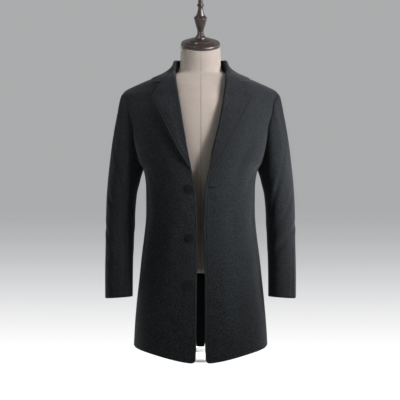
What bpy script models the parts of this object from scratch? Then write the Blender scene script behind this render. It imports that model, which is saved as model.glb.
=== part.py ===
"""A single-breasted wool overcoat, worn open on a limbless dress form with a turned wooden cap.

Metres, +Z up. The origin is at the centre of the form's foot, where it meets the floor. The coat faces -Y,
so the wearer's left side is at +X. Every piece of cloth is a wall of its own, cut from the same few sizes:
level sections of the body, front edges, armholes and rings along the sleeves.
"""

import math
from collections import namedtuple

import bmesh
import bpy
import numpy as np
from mathutils import Matrix, Vector

CLOTH = 0.003  # wall of the coat's wool
FOLD_CLOTH = 0.0025  # wall of the lapels and of the collar
GAP = 0.0003  # between pieces that are sewn together
REST = 0.0012  # between a piece of cloth and the one it lies on

UNDERARM = 0.567  # height of the underarm point
SHOULDER_TIP = 0.8057  # height of the armhole's top, on the shoulder seam
NECK_POINT = 0.8655  # height of the shoulder seam's end at the neck
BACK_NECK = 0.857  # height of the neckline at the centre back
HEM_CENTRE = 0.008
HEM_SIDE = 0.037
HEM_CORNER = 0.006  # how far the front edges' lower corners are cut up

ARMHOLE_FRONT = 0.060  # how far the armhole reaches forward and back of its middle
ARMHOLE_BACK = 0.062
UNDERARM_BACK = 0.015  # how far the underarm point, and the side seam under it, lie behind the shoulder

SIDE_RADIUS = 0.17  # distances from the middle that turn the gap of a seam into an angle
NECK_RADIUS = 0.12
SLEEVE_RADIUS = 0.05
MITRE_LIMIT = 0.55  # the armhole's wall is no thicker than the cloth divided by this

SKIRT_ROWS = 11
YOKE_ROWS = 12  # also the steps round each half of the armhole, so body and sleeve meet point to point
FRONT_COLUMNS = 12
BACK_COLUMNS = 11
FRONT_SEAM = 8  # steps round the sleeve from its top, forward, to the seam on its inner front
BACK_SEAM = 17
LAPEL_ROWS = 10  # the fronts share these rows along the lapels' folds
LAPEL_COLUMNS = 9
LAPEL_CROWDING = 1.4  # the lapel's rows lie closer towards the shoulder, where the body curves most
NOSE_COLUMNS = 5  # across the rounded fold of a lapel or of the collar
COLLAR_STEPS = 2  # sections of the collar between two rows of its table

# Level sections of the coat's outer face: half the width, the y of its front and back, the y of its widest
# place and the exponent of its rounded outline. Above the shoulder's tip, the width runs up the shoulder.
Slice = namedtuple("Slice", "height half_width front back middle exponent")
BODY = (
    Slice(-0.010, 0.2052, -0.1690, 0.1660, 0.000, 2.30),
    Slice(0.038, 0.2040, -0.1680, 0.1650, 0.000, 2.30),
    Slice(0.081, 0.2015, -0.1665, 0.1630, 0.000, 2.30),
    Slice(0.162, 0.1940, -0.1620, 0.1570, 0.000, 2.30),
    Slice(0.244, 0.1843, -0.1575, 0.1500, 0.000, 2.30),
    Slice(0.306, 0.1774, -0.1540, 0.1430, 0.000, 2.30),
    Slice(0.369, 0.1690, -0.1505, 0.1330, 0.000, 2.30),
    Slice(0.430, 0.1636, -0.1475, 0.1240, 0.000, 2.30),
    Slice(0.509, 0.1640, -0.1460, 0.1220, 0.000, 2.30),
    Slice(0.567, 0.1720, -0.1465, 0.1280, 0.000, 2.30),
    Slice(0.584, 0.1830, -0.1465, 0.1295, 0.001, 2.30),
    Slice(0.612, 0.1935, -0.1465, 0.1300, 0.002, 2.25),
    Slice(0.651, 0.2053, -0.1445, 0.1290, 0.004, 2.20),
    Slice(0.697, 0.2169, -0.1395, 0.1265, 0.006, 2.05),
    Slice(0.736, 0.2347, -0.1320, 0.1220, 0.008, 1.80),
    Slice(0.773, 0.2480, -0.1220, 0.1150, 0.008, 1.50),
    Slice(0.788, 0.2550, -0.1170, 0.1110, 0.008, 1.42),
    Slice(0.8058, 0.2255, -0.1110, 0.1060, 0.008, 1.50),
    Slice(0.8314, 0.1700, -0.0980, 0.0950, 0.008, 1.70),
    Slice(0.8498, 0.1224, -0.0820, 0.0830, 0.008, 1.85),
    Slice(0.8650, 0.0800, -0.0640, 0.0735, 0.008, 2.00),
    Slice(0.8760, 0.0560, -0.0520, 0.0640, 0.008, 2.00),
)

# The open front: x of each front edge, which goes on up as the fold of its lapel.
Edge = namedtuple("Edge", "height right left")
FRONT_EDGE = (
    Edge(0.000, 0.0150, 0.0150),
    Edge(0.079, 0.0118, 0.0129),
    Edge(0.230, 0.0101, 0.0124),
    Edge(0.380, 0.0084, 0.0092),
    Edge(0.459, 0.0095, 0.0104),
    Edge(0.519, 0.0178, 0.0147),
    Edge(0.570, 0.0255, 0.0239),
    Edge(0.623, 0.0360, 0.0334),
    Edge(0.665, 0.0430, 0.0438),
    Edge(0.708, 0.0503, 0.0537),
    Edge(0.751, 0.0574, 0.0612),
    Edge(0.793, 0.0648, 0.0680),
    Edge(0.827, 0.0705, 0.0722),
    Edge(0.8545, 0.0735, 0.0740),
    Edge(0.8800, 0.0745, 0.0745),
)
LAPEL_FOOT = UNDERARM  # height where the lapels end, at the front edges
FOLD_RUN_IN = 0.012  # over this height below a lapel the front's edge moves in to the fold
GORGE = 0.8545  # height where the seam between lapel and collar meets the fold

# The lapel's outer edge, from its foot to its corner, and the notch between lapel and collar.
Outline = namedtuple("Outline", "height x")
LAPEL_EDGE = (
    Outline(0.567, 0.0325),
    Outline(0.617, 0.0605),
    Outline(0.665, 0.0850),
    Outline(0.693, 0.1000),
    Outline(0.7475, 0.1305),
    Outline(0.779, 0.1515),
)
NOTCH = Outline(0.8224, 0.1160)
COLLAR_CORNER = Outline(0.8225, 0.1430)
LIFT = {"right": 0.0045, "left": 0.0020}  # how far the lapels' outer edges stand off the fronts

# The collar from its front end round to the centre back: the top of its fold, the way the fold points
# (degrees above outward), its stand below the fold, the pull of its fall, and the fall's edge on the body.
Station = namedtuple("Station", "x y height fold stand_length stand_angle fall_pull edge_angle edge_height")
COLLAR = (
    Station(0.0748, -0.0335, 0.8735, 128, 0.015, -84, 0.030, 70.0, 0.8335),
    Station(0.0762, -0.0120, 0.8890, 106, 0.027, -84, 0.026, 79.0, 0.8395),
    Station(0.0760, 0.0100, 0.8965, 92, 0.032, -88, 0.024, 92.0, 0.8405),
    Station(0.0690, 0.0350, 0.8990, 90, 0.036, -86, 0.025, 116.0, 0.8380),
    Station(0.0480, 0.0570, 0.9000, 90, 0.040, -85, 0.032, 140.0, 0.8385),
    Station(0.0240, 0.0675, 0.9000, 90, 0.042, -86, 0.032, 161.0, 0.8420),
    Station(0.0000, 0.0705, 0.9000, 90, 0.043, -87, 0.032, 180.0, 0.8440),
)
COLLAR_LEG = 0.006  # how far the lapels' and the collar's folds reach in behind the fronts
NECK_BOW = 0.04  # radians by which the fronts' neck edges bow out, clear of the collar's stand
LAPEL_SETTLE = 0.0008  # how much more the lapel stands off where it crosses the curve of the shoulder

# Rings along the sleeve, from the armhole to the cuff: the outer and inner side seen from the front, the y
# of the middle, half the depth and the share of the armhole's own shape that the ring keeps.
Ring = namedtuple("Ring", "outer_x outer_z inner_x inner_z middle half_depth armhole")
SLEEVE = (
    Ring(0.2257, 0.8057, 0.1715, 0.5670, 0.009, 0.0610, 1.00),
    Ring(0.2337, 0.7965, 0.1745, 0.5625, 0.009, 0.0645, 0.92),
    Ring(0.2406, 0.7745, 0.1780, 0.5530, 0.010, 0.0675, 0.80),
    Ring(0.2476, 0.7420, 0.1820, 0.5400, 0.011, 0.0695, 0.66),
    Ring(0.2552, 0.7100, 0.1860, 0.5230, 0.012, 0.0700, 0.50),
    Ring(0.2666, 0.6530, 0.1930, 0.4950, 0.015, 0.0695, 0.25),
    Ring(0.2748, 0.5930, 0.1970, 0.4600, 0.017, 0.0675, 0.10),
    Ring(0.2818, 0.5300, 0.1994, 0.4250, 0.018, 0.0650, 0.00),
    Ring(0.2858, 0.4680, 0.2006, 0.3900, 0.014, 0.0625, 0.00),
    Ring(0.2866, 0.4000, 0.2020, 0.3480, 0.004, 0.0600, 0.00),
    Ring(0.2866, 0.3300, 0.2036, 0.2980, -0.010, 0.0580, 0.00),
    Ring(0.2866, 0.2580, 0.2036, 0.2450, -0.026, 0.0560, 0.00),
    Ring(0.2850, 0.1820, 0.2028, 0.1880, -0.044, 0.0540, 0.00),
)
CUFF_TILT = 0.16  # rise of the lower rings for each metre forward, because the forearm hangs forward
LEVEL_BELOW = 0.08  # a ring whose two sides differ less than this in height has a part of that rise
SLEEVE_EXPONENT = 2.2

# Level sections of the form, as in BODY. Its shoulders lie just under the coat's.
FORM = (
    Slice(0.2620, 0.1300, -0.0900, 0.0870, 0.000, 2.20),
    Slice(0.2660, 0.1430, -0.1030, 0.1000, 0.000, 2.20),
    Slice(0.2800, 0.1500, -0.1100, 0.1080, 0.000, 2.20),
    Slice(0.3300, 0.1520, -0.1130, 0.1080, 0.000, 2.20),
    Slice(0.4000, 0.1430, -0.1040, 0.0940, 0.000, 2.20),
    Slice(0.4500, 0.1370, -0.1000, 0.0860, 0.000, 2.20),
    Slice(0.5100, 0.1390, -0.1040, 0.0880, 0.000, 2.20),
    Slice(0.5700, 0.1450, -0.1120, 0.0940, 0.001, 2.20),
    Slice(0.6200, 0.1500, -0.1180, 0.1000, 0.002, 2.20),
    Slice(0.6800, 0.1600, -0.1200, 0.1040, 0.004, 2.10),
    Slice(0.7300, 0.1720, -0.1150, 0.1040, 0.006, 1.95),
    Slice(0.7700, 0.1850, -0.1060, 0.0990, 0.008, 1.75),
    Slice(0.7970, 0.1920, -0.0950, 0.0910, 0.008, 1.60),
    Slice(0.8100, 0.1905, -0.0890, 0.0870, 0.008, 1.60),
    Slice(0.8175, 0.1840, -0.0850, 0.0840, 0.008, 1.65),
    Slice(0.8255, 0.1695, -0.0800, 0.0790, 0.008, 1.70),
    Slice(0.8443, 0.1215, -0.0680, 0.0690, 0.008, 1.85),
    Slice(0.8500, 0.0990, -0.0620, 0.0650, 0.008, 1.95),
    Slice(0.8545, 0.0820, -0.0590, 0.0620, 0.006, 2.00),
    Slice(0.8585, 0.0725, -0.0570, 0.0605, 0.004, 2.00),
    Slice(0.8640, 0.0670, -0.0565, 0.0600, 0.003, 2.00),
    Slice(0.8740, 0.0630, -0.0565, 0.0595, 0.001, 2.00),
    Slice(0.8880, 0.0610, -0.0575, 0.0595, 0.000, 2.00),
    Slice(0.9100, 0.0600, -0.0590, 0.0590, 0.000, 2.00),
    Slice(0.9400, 0.0600, -0.0600, 0.0600, 0.000, 2.00),
)
FORM_COLUMNS = 28
NECK_TOP = 0.940  # height of the neck's middle under its cap
NECK_SLANT_FROM = 0.888  # the neck's sections start to slope forward here
CAP_SLOPE = math.radians(23)  # the neck's top, its cap and the finial lean forward by this

Turn = namedtuple("Turn", "radius height")
CAP = (
    Turn(0.0, 0.0),
    Turn(0.0560, 0.0),
    Turn(0.0582, 0.0018),
    Turn(0.0590, 0.0050),
    Turn(0.0578, 0.0085),
    Turn(0.0530, 0.0100),
    Turn(0.0505, 0.0095),
    Turn(0.0470, 0.0125),
    Turn(0.0400, 0.0150),
    Turn(0.0365, 0.0148),
    Turn(0.0340, 0.0178),
    Turn(0.0230, 0.0215),
    Turn(0.0165, 0.0225),
    Turn(0.0, 0.0225),
)
FINIAL = (
    Turn(0.0, 0.0),
    Turn(0.0160, 0.0),
    Turn(0.0160, 0.0030),
    Turn(0.0128, 0.0075),
    Turn(0.0098, 0.0110),
    Turn(0.0100, 0.0130),
    Turn(0.0088, 0.0145),
    Turn(0.0098, 0.0165),
    Turn(0.0098, 0.0190),
    Turn(0.0088, 0.0205),
    Turn(0.0098, 0.0245),
    Turn(0.0110, 0.0300),
    Turn(0.0142, 0.0400),
    Turn(0.0168, 0.0500),
    Turn(0.0182, 0.0560),
    Turn(0.0196, 0.0600),
    Turn(0.0196, 0.0625),
    Turn(0.0160, 0.0665),
    Turn(0.0128, 0.0700),
    Turn(0.0100, 0.0790),
    Turn(0.0076, 0.0890),
    Turn(0.0074, 0.0950),
    Turn(0.0102, 0.0975),
    Turn(0.0102, 0.1015),
    Turn(0.0074, 0.1045),
    Turn(0.0073, 0.1140),
    Turn(0.0060, 0.1165),
    Turn(0.0, 0.1165),
)
FOOT = (
    Turn(0.0, 0.0),
    Turn(0.1030, 0.0),
    Turn(0.1050, 0.0020),
    Turn(0.1050, 0.0080),
    Turn(0.1010, 0.0110),
    Turn(0.0300, 0.0140),
    Turn(0.0260, 0.0170),
    Turn(0.0250, 0.0280),
    Turn(0.0220, 0.0300),
    Turn(0.0, 0.0300),
)
POST_RADIUS = 0.0125
TURNED_STEPS = 24
SMALL_TURNED_STEPS = 16  # round the finial, the post and the buttons

# Buttons on the wearer's right front: how far each lies from the middle, and its height.
BUTTONS = {"top": (0.0314, 0.5107), "middle": (0.0294, 0.3680), "bottom": (0.0353, 0.2335)}
BUTTON = (
    Turn(0.0, 0.0),
    Turn(0.0100, 0.0),
    Turn(0.0118, 0.0012),
    Turn(0.0120, 0.0026),
    Turn(0.0108, 0.0038),
    Turn(0.0094, 0.0036),
    Turn(0.0080, 0.0026),
    Turn(0.0, 0.0026),
)
BUTTON_HOLE = 0.0010  # radius
BUTTON_HOLE_REACH = 0.0024  # from the button's middle to each hole


def smooth(table, column, at):
    """The table's column at this place, on a curve through its rows that doesn't overshoot them."""
    knots = np.array([row[0] for row in table])
    values = np.array([getattr(row, column) for row in table])
    step = np.diff(knots)
    rise = np.diff(values) / step
    slope = np.zeros_like(values)
    slope[0], slope[-1] = rise[0], rise[-1]
    before, after = rise[:-1], rise[1:]
    turns = before * after <= 0
    before, after = np.where(turns, 1, before), np.where(turns, 1, after)
    weight, other = 2 * step[1:] + step[:-1], step[1:] + 2 * step[:-1]
    slope[1:-1] = np.where(turns, 0, (weight + other) / (weight / before + other / after))
    row = np.clip(np.searchsorted(knots, at, side="right") - 1, 0, len(step) - 1)
    t = (at - knots[row]) / step[row]
    start, end = values[row], values[row + 1]
    leave, arrive = slope[row] * step[row], slope[row + 1] * step[row]
    bend = start * (1 + 2 * t) * (1 - t) ** 2 + end * t**2 * (3 - 2 * t)
    return bend + leave * t * (1 - t) ** 2 - arrive * t**2 * (1 - t)


def unit(vectors):
    return vectors / np.linalg.norm(vectors, axis=-1, keepdims=True)


def section(table, angle, height):
    """A point on a level section. The angle runs from the front's middle (0) over +X to the back (180)."""
    half = smooth(table, "half_width", height)
    middle = smooth(table, "middle", height)
    power = smooth(table, "exponent", height)
    ahead = middle - smooth(table, "front", height)
    behind = smooth(table, "back", height) - middle
    depth = np.where(np.cos(angle) > 0, ahead, behind)
    reach = (abs(np.sin(angle) / half) ** power + abs(np.cos(angle) / depth) ** power) ** (-1 / power)
    return np.stack([reach * np.sin(angle), middle - reach * np.cos(angle), height + 0 * reach], axis=-1)


def body(angle, height):
    """A point on the coat's outer face."""
    return section(BODY, np.asarray(angle, float), np.asarray(height, float))


def body_normal(angle, height):
    step = 0.002
    angle, height = np.asarray(angle, float), np.asarray(height, float)
    along = body(angle + step, height) - body(angle - step, height)
    up = body(angle, height + step) - body(angle, height - step)
    return unit(np.cross(along, up))


def front_angle(x, height):
    """The angle of the point of the coat's front that lies this far from the middle."""
    half = smooth(BODY, "half_width", height)
    middle = smooth(BODY, "middle", height)
    power = smooth(BODY, "exponent", height)
    ahead = middle - smooth(BODY, "front", height)
    inside = np.clip(1 - (x / half) ** power, 1e-6, None)
    return np.arctan2(x, ahead * inside ** (1 / power))


def resampled(curve, count):
    """This many points, evenly spaced over the coat, along a curve of angles and heights."""
    places = body(curve[:, 0], curve[:, 1])
    run = np.concatenate([[0], np.cumsum(np.linalg.norm(np.diff(places, axis=0), axis=1))])
    at = np.linspace(0, run[-1], count)
    return np.stack([np.interp(at, run, curve[:, 0]), np.interp(at, run, curve[:, 1])], axis=1)


def fill(bottom, top, left, right):
    """A grid of points between four boundary curves. Bottom and top run from left to right."""
    u = np.linspace(0, 1, len(bottom))[None, :, None]
    v = np.linspace(0, 1, len(left))[:, None, None]
    between_sides = left[:, None] * (1 - u) + right[:, None] * u
    between_ends = bottom[None] * (1 - v) + top[None] * v
    low = bottom[0] * (1 - u) + bottom[-1] * u
    high = top[0] * (1 - u) + top[-1] * u
    return between_sides + between_ends - low * (1 - v) - high * v


def clear_of_body(points, least):
    """The points, moved out where they lie closer than this to the coat's outer face."""
    place = on_body(points)
    out = body_normal(place[..., 0], place[..., 1])
    over = ((points - body(place[..., 0], place[..., 1])) * out).sum(axis=-1, keepdims=True)
    return points + out * np.clip(least - over, 0, None)


def armhole(turn):
    """Points round the armhole. The turn is 0 at the shoulder, 90 at the front and 180 at the underarm."""
    middle_height = (SHOULDER_TIP + UNDERARM) / 2
    height = middle_height + (SHOULDER_TIP - UNDERARM) / 2 * np.cos(turn)
    reach = np.where(np.sin(turn) > 0, -ARMHOLE_FRONT, ARMHOLE_BACK) * abs(np.sin(turn))
    offset = reach + UNDERARM_BACK * (1 - np.cos(turn)) / 2
    middle = smooth(BODY, "middle", height)
    depth = np.where(offset < 0, middle - smooth(BODY, "front", height), smooth(BODY, "back", height) - middle)
    power = smooth(BODY, "exponent", height)
    x = smooth(BODY, "half_width", height) * (1 - (abs(offset) / depth) ** power) ** (1 / power)
    return np.stack([x, middle + offset, height], axis=-1)


def on_body(points):
    """The angle and height of points that lie on the coat's outer face."""
    middle = smooth(BODY, "middle", points[..., 2])
    return np.stack([np.arctan2(points[..., 0], middle - points[..., 1]), points[..., 2]], axis=-1)


def armhole_mitre(turn):
    """Where body and sleeve meet: the points, the mitred wall inward and the way across the seam."""
    points = armhole(turn)
    place = on_body(points)
    body_out = body_normal(place[:, 0], place[:, 1])
    tangent = unit(armhole(turn + 0.01) - armhole(turn - 0.01))
    sleeve_way = unit(sleeve_ring(1, turn) - points)
    sleeve_out = unit(np.cross(tangent, sleeve_way))
    inward = -unit(body_out + sleeve_out)
    lean = np.clip(-(inward * body_out).sum(axis=1, keepdims=True), MITRE_LIMIT, 1)
    across = unit(np.cross(tangent, inward))
    across = across * np.sign((across * sleeve_way).sum(axis=1, keepdims=True))
    return points, inward * CLOTH / lean, across * GAP


def sleeve_oval(ring, turn):
    outer = np.array([ring.outer_x, ring.middle, ring.outer_z])
    inner = np.array([ring.inner_x, ring.middle, ring.inner_z])
    power = 2 / SLEEVE_EXPONENT
    across = np.sign(np.cos(turn)) * abs(np.cos(turn)) ** power
    forward = np.sign(np.sin(turn)) * abs(np.sin(turn)) ** power
    points = (outer + inner) / 2 + across[:, None] * (outer - inner) / 2
    points[:, 1] -= forward * ring.half_depth
    level = np.clip(1 - (ring.outer_z - ring.inner_z) / LEVEL_BELOW, 0, 1)
    points[:, 2] += CUFF_TILT * level * forward * ring.half_depth
    return points


def sleeve_ring(row, turn):
    """The outer points of a ring of the sleeve's table: an oval that passes from the armhole's shape."""
    own_shape = armhole(turn) - sleeve_oval(SLEEVE[0], turn)
    return sleeve_oval(SLEEVE[row], turn) + SLEEVE[row].armhole * own_shape


def through(rings, counts):
    """Rings between the given ones, on a smooth curve through them: counts gives the steps in each stretch."""
    padded = [2 * rings[0] - rings[1], *rings, 2 * rings[-1] - rings[-2]]
    made = []
    for i, count in enumerate(counts):
        a, b, c, d = padded[i : i + 4]
        for t in np.arange(count) / count:
            made.append(
                ((2 * b) + (c - a) * t + (2 * a - 5 * b + 4 * c - d) * t**2 + (3 * b - a - 3 * c + d) * t**3) / 2
            )
    return np.array([*made, rings[-1]])


def material(name, colour, roughness, metallic=0.0):
    made = bpy.data.materials.new(name)
    made.use_nodes = True
    shader = made.node_tree.nodes["Principled BSDF"]
    shader.inputs["Base Color"].default_value = (*colour, 1)
    shader.inputs["Roughness"].default_value = roughness
    shader.inputs["Metallic"].default_value = metallic
    return made


def add(name, mesh, look):
    made = bpy.data.objects.new(name, mesh)
    made.data.materials.append(look)
    bpy.context.scene.collection.objects.link(made)
    return made


def wall(name, outer, inner, look, side):
    """A closed wall between an outer and an inner grid of points, on the wearer's left or mirrored."""
    rows, columns = outer.shape[:2]
    points = np.concatenate([outer.reshape(-1, 3), inner.reshape(-1, 3)])
    index = np.arange(rows * columns).reshape(rows, columns)
    quads = np.stack([index[:-1, :-1], index[:-1, 1:], index[1:, 1:], index[1:, :-1]], axis=-1).reshape(-1, 4)
    inside = quads[:, ::-1] + rows * columns
    rim = np.concatenate([index[0, :-1], index[:-1, -1], index[-1, :0:-1], index[:0:-1, 0]])
    after = np.roll(rim, -1)
    edge = np.stack([rim, rim + rows * columns, after + rows * columns, after], axis=-1)
    faces = np.concatenate([quads, inside, edge])
    if side == "right":
        points = points * (-1, 1, 1)
        faces = faces[:, ::-1]
    mesh = bpy.data.meshes.new(name)
    mesh.from_pydata(points.tolist(), [], faces.tolist())
    mesh.update()
    mesh.shade_smooth()
    mesh.set_sharp_from_angle(angle=math.radians(50))
    return add(name, mesh, look)


def turned(name, profile, look, steps=SMALL_TURNED_STEPS):
    """A turned solid on +Z from a profile that starts and ends on its axis."""
    shape = bmesh.new()
    points = [shape.verts.new((radius, 0, height)) for radius, height in profile]
    edges = [shape.edges.new(pair) for pair in zip(points, points[1:])]
    bmesh.ops.spin(
        shape,
        geom=points + edges,
        cent=(0, 0, 0),
        axis=(0, 0, 1),
        angle=math.tau,
        steps=steps,
        use_merge=True,
    )
    bmesh.ops.remove_doubles(shape, verts=shape.verts, dist=1e-6)
    bmesh.ops.recalc_face_normals(shape, faces=shape.faces)
    mesh = bpy.data.meshes.new(name)
    shape.to_mesh(mesh)
    shape.free()
    mesh.shade_smooth()
    mesh.set_sharp_from_angle(angle=math.radians(40))
    return add(name, mesh, look)


def hem(angle):
    """Height of the hem, which hangs lower in front and behind than at the sides."""
    return HEM_CENTRE + (HEM_SIDE - HEM_CENTRE) * np.sin(math.pi / 2 * np.sin(angle) ** 2)


def inset_edge(height, side):
    """x of the front's own edge, which keeps clear inside the lapel's rounded fold."""
    edge = smooth(FRONT_EDGE, side, height)
    hidden = np.clip((height - LAPEL_FOOT + FOLD_RUN_IN) / FOLD_RUN_IN, 0, 1)
    return edge + hidden * fold_radius() * row_way(edge, height)[..., 0]


def fold_radius():
    return CLOTH / 2 + REST + FOLD_CLOTH


def row_way(x, height):
    """The unit way along the coat's front, level and away from the middle."""
    step = 0.001
    return unit(body(front_angle(x + step, height), height) - body(front_angle(x, height), height))


def skirt(start, end, columns):
    """Angles and heights from the hem to the underarm, between two functions of the height."""
    share = np.linspace(0, 1, columns)[None]
    rise = np.linspace(0, 1, SKIRT_ROWS + 1)[:, None]
    height = np.repeat(HEM_SIDE + (UNDERARM - HEM_SIDE) * rise, columns, axis=1)
    for _ in range(3):
        angle = start(height[:, :1]) * (1 - share) + end(height[:, :1]) * share
        low = hem(angle[:1])
        height = low + (UNDERARM - low) * rise
    return np.stack([angle, height], axis=-1)


def panel(name, grid, armhole_column, turns, side, look):
    """A body panel from its angles and heights, with its armhole column mitred to the sleeve."""
    outer = body(grid[..., 0], grid[..., 1])
    inner = outer - CLOTH * body_normal(grid[..., 0], grid[..., 1])
    points, inward, across = armhole_mitre(turns)
    outer[SKIRT_ROWS:, armhole_column] = points - across
    inner[SKIRT_ROWS:, armhole_column] = points - across + inward
    return wall(name, outer, inner, look, side)


def side_seam():
    return on_body(armhole(np.array([math.pi])))[0, 0]


def front(side, look):
    seam = side_seam() - GAP / 2 / SIDE_RADIUS
    lower = skirt(lambda z: front_angle(inset_edge(z, side), z), lambda z: seam + 0 * z, FRONT_COLUMNS)
    lower[0, 0, 1] += HEM_CORNER
    heights = fold_heights()
    fold = np.stack([front_angle(inset_edge(heights, side), heights), heights], axis=1)
    ridge = math.pi / 2 - GAP / 2 / NECK_RADIUS
    share = np.linspace(0, 1, 12)[:, None]
    neck = fold[-1] + share * (np.array([ridge, NECK_POINT]) - fold[-1])
    neck[:, :1] += NECK_BOW * np.sin(math.pi * share)
    left = np.concatenate([fold, resampled(neck, YOKE_ROWS - LAPEL_ROWS + 1)[1:]])
    turns = np.linspace(math.pi, 0, YOKE_ROWS + 1)
    right = on_body(armhole(turns))
    right[0, 0] = seam
    top = np.stack([np.full(FRONT_COLUMNS, ridge), np.linspace(NECK_POINT, SHOULDER_TIP, FRONT_COLUMNS)], axis=1)
    right[-1, 0] = ridge
    upper = fill(lower[-1], top, left, right)
    grid = np.concatenate([lower[:-1], upper])
    return panel(f"front_{side}", grid, -1, turns, side, look)


def back(side, look):
    seam = side_seam() + GAP / 2 / SIDE_RADIUS
    centre = math.pi - GAP / 2 / NECK_RADIUS
    lower = skirt(lambda z: seam + 0 * z, lambda z: centre + 0 * z, BACK_COLUMNS)
    ridge = math.pi / 2 + GAP / 2 / NECK_RADIUS
    turns = np.linspace(math.pi, math.tau, YOKE_ROWS + 1)
    left = on_body(armhole(turns))
    left[0, 0], left[-1, 0] = seam, ridge
    rise = np.stack([np.full(20, centre), np.linspace(UNDERARM, BACK_NECK, 20)], axis=1)
    share = np.linspace(0, 1, 20)[1:]
    neckline = np.stack(
        [centre + (ridge - centre) * share, BACK_NECK + (NECK_POINT - BACK_NECK) * share**2], axis=1
    )
    right = resampled(np.concatenate([rise, neckline]), YOKE_ROWS + 1)
    top = np.stack([np.full(BACK_COLUMNS, ridge), np.linspace(SHOULDER_TIP, NECK_POINT, BACK_COLUMNS)], axis=1)
    upper = fill(lower[-1], top, left, right)
    grid = np.concatenate([lower[:-1], upper])
    return panel(f"back_{side}", grid, 0, turns, side, look)


def sleeve(name, first, last, side, look):
    """A panel of the sleeve between two steps round it, from the armhole to the cuff."""
    margin = GAP / SLEEVE_RADIUS
    turns = np.arange(first, last + 1) * math.pi / YOKE_ROWS
    turns[0] += margin
    turns[-1] -= margin
    outer = sleeve_rings(turns)
    inner = outer - CLOTH * sleeve_normals(turns)
    inner[0] = outer[0] + armhole_mitre(turns)[1]
    return wall(name, outer, inner, look, side)


def sleeve_rings(turns):
    """The sleeve's outer points, ring by ring, starting half a seam's gap off the armhole."""
    seam, _, across = armhole_mitre(turns)
    return np.array([seam + across] + [sleeve_ring(row, turns) for row in range(1, len(SLEEVE))])


def sleeve_normals(turns):
    """Outward normals of the sleeve, from neighbours round it and along it."""
    step = 0.03
    tangent = sleeve_rings(turns + step) - sleeve_rings(turns - step)
    along = np.gradient(sleeve_rings(turns), axis=0)
    return unit(np.cross(tangent, along))


def fold_heights():
    rise = 1 - (1 - np.linspace(0, 1, LAPEL_ROWS + 1)) ** LAPEL_CROWDING
    return LAPEL_FOOT + (GORGE - LAPEL_FOOT) * rise


def fold_points(base, way, out, radius, turns):
    """Points round a fold: from the outer leg's start over the fold's nose to the inner leg's start."""
    centre = base - out * (CLOTH / 2)
    turns = turns[:, None]
    return centre - way * radius * np.sin(turns) + out * radius * np.cos(turns)


def lapel_grid(side, face):
    """The outer (1) or hidden (0) face of a lapel: its leg behind the front, its fold and its visible leaf."""
    heights = fold_heights()
    rise = (heights - LAPEL_FOOT) / (GORGE - LAPEL_FOOT)
    lift = REST + FOLD_CLOTH * face
    radius = CLOTH / 2 + lift
    start = np.array([[LAPEL_FOOT, inset_edge(np.array([LAPEL_FOOT]), side)[0]]])
    fold = np.stack([heights, inset_edge(heights, side)], axis=1)
    edge_heights = LAPEL_EDGE[0].height + (LAPEL_EDGE[-1].height - LAPEL_EDGE[0].height) * rise
    edge = np.stack([edge_heights, smooth(LAPEL_EDGE, "x", edge_heights)], axis=1)
    gorge = gorge_line(side)
    corner = np.array(LAPEL_EDGE[-1])
    share = np.linspace(0, 1, LAPEL_COLUMNS - len(gorge) + 1)[1:, None]
    top = np.concatenate([gorge - (GAP, 0), gorge[-1] + (corner - gorge[-1]) * share])
    bottom = start + (edge[0] - start) * np.linspace(0, 1, LAPEL_COLUMNS)[:, None]
    fold[-1], edge[-1] = top[0], corner
    leaf = fill(bottom, top, fold, edge)
    height, x = leaf[..., 0], leaf[..., 1]
    angle = front_angle(x, height)
    out = body_normal(angle, height)
    share = np.linspace(0, 1, LAPEL_COLUMNS)[None, :, None]
    rows = rise[:, None, None]
    stand_off = LIFT[side] * share**2 * np.sin(math.pi * rows**0.8) + LAPEL_SETTLE * rows**4 * share**0.5
    points = body(angle, height) + out * (lift + stand_off)
    nose = np.linspace(0, math.pi, NOSE_COLUMNS)[1:]
    folded = []
    for row in range(LAPEL_ROWS + 1):
        base = body(angle[row, 0], height[row, 0])
        way = unit(body(angle[row, 1], height[row, 1]) - base)
        turned_in = fold_points(base, way, out[row, 0], radius, nose)
        leg = turned_in[-1] + way * COLLAR_LEG
        folded.append(np.concatenate([[leg], turned_in[::-1], points[row]]))
    return np.array(folded)


def gorge_line(side):
    """Heights and x along the seam between lapel and collar, from the fold to the notch."""
    start = np.array([GORGE, inset_edge(np.array([GORGE]), side)[0]])
    share = np.linspace(0, 1, LAPEL_COLUMNS - 2)[:, None]
    return start + (np.array(NOTCH) - start) * share


def lapel(side, look):
    return wall(f"lapel_{side}", lapel_grid(side, 1), lapel_grid(side, 0), look, side)


def collar_end(side, face):
    """The collar's front end on the wearer's left: its leg and fold, then the gorge and its free edge."""
    lift = REST + FOLD_CLOTH * face
    gorge = gorge_line(side) + (GAP, 0)
    corner = np.array(COLLAR_CORNER)
    share = np.linspace(0, 1, LAPEL_COLUMNS - len(gorge) + 1)[1:, None]
    line = np.concatenate([gorge, gorge[-1] + (corner - gorge[-1]) * share])
    angle = front_angle(line[:, 1], line[:, 0])
    out = body_normal(angle, line[:, 0])
    points = body(angle, line[:, 0])
    way = unit(points[1] - points[0])
    nose = np.linspace(0, math.pi, NOSE_COLUMNS)[1:]
    turned_in = fold_points(points[0], way, out[0], CLOTH / 2 + lift, nose)
    leg = turned_in[-1] + way * COLLAR_LEG
    return np.concatenate([[leg], turned_in[::-1], points + out * lift])


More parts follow.
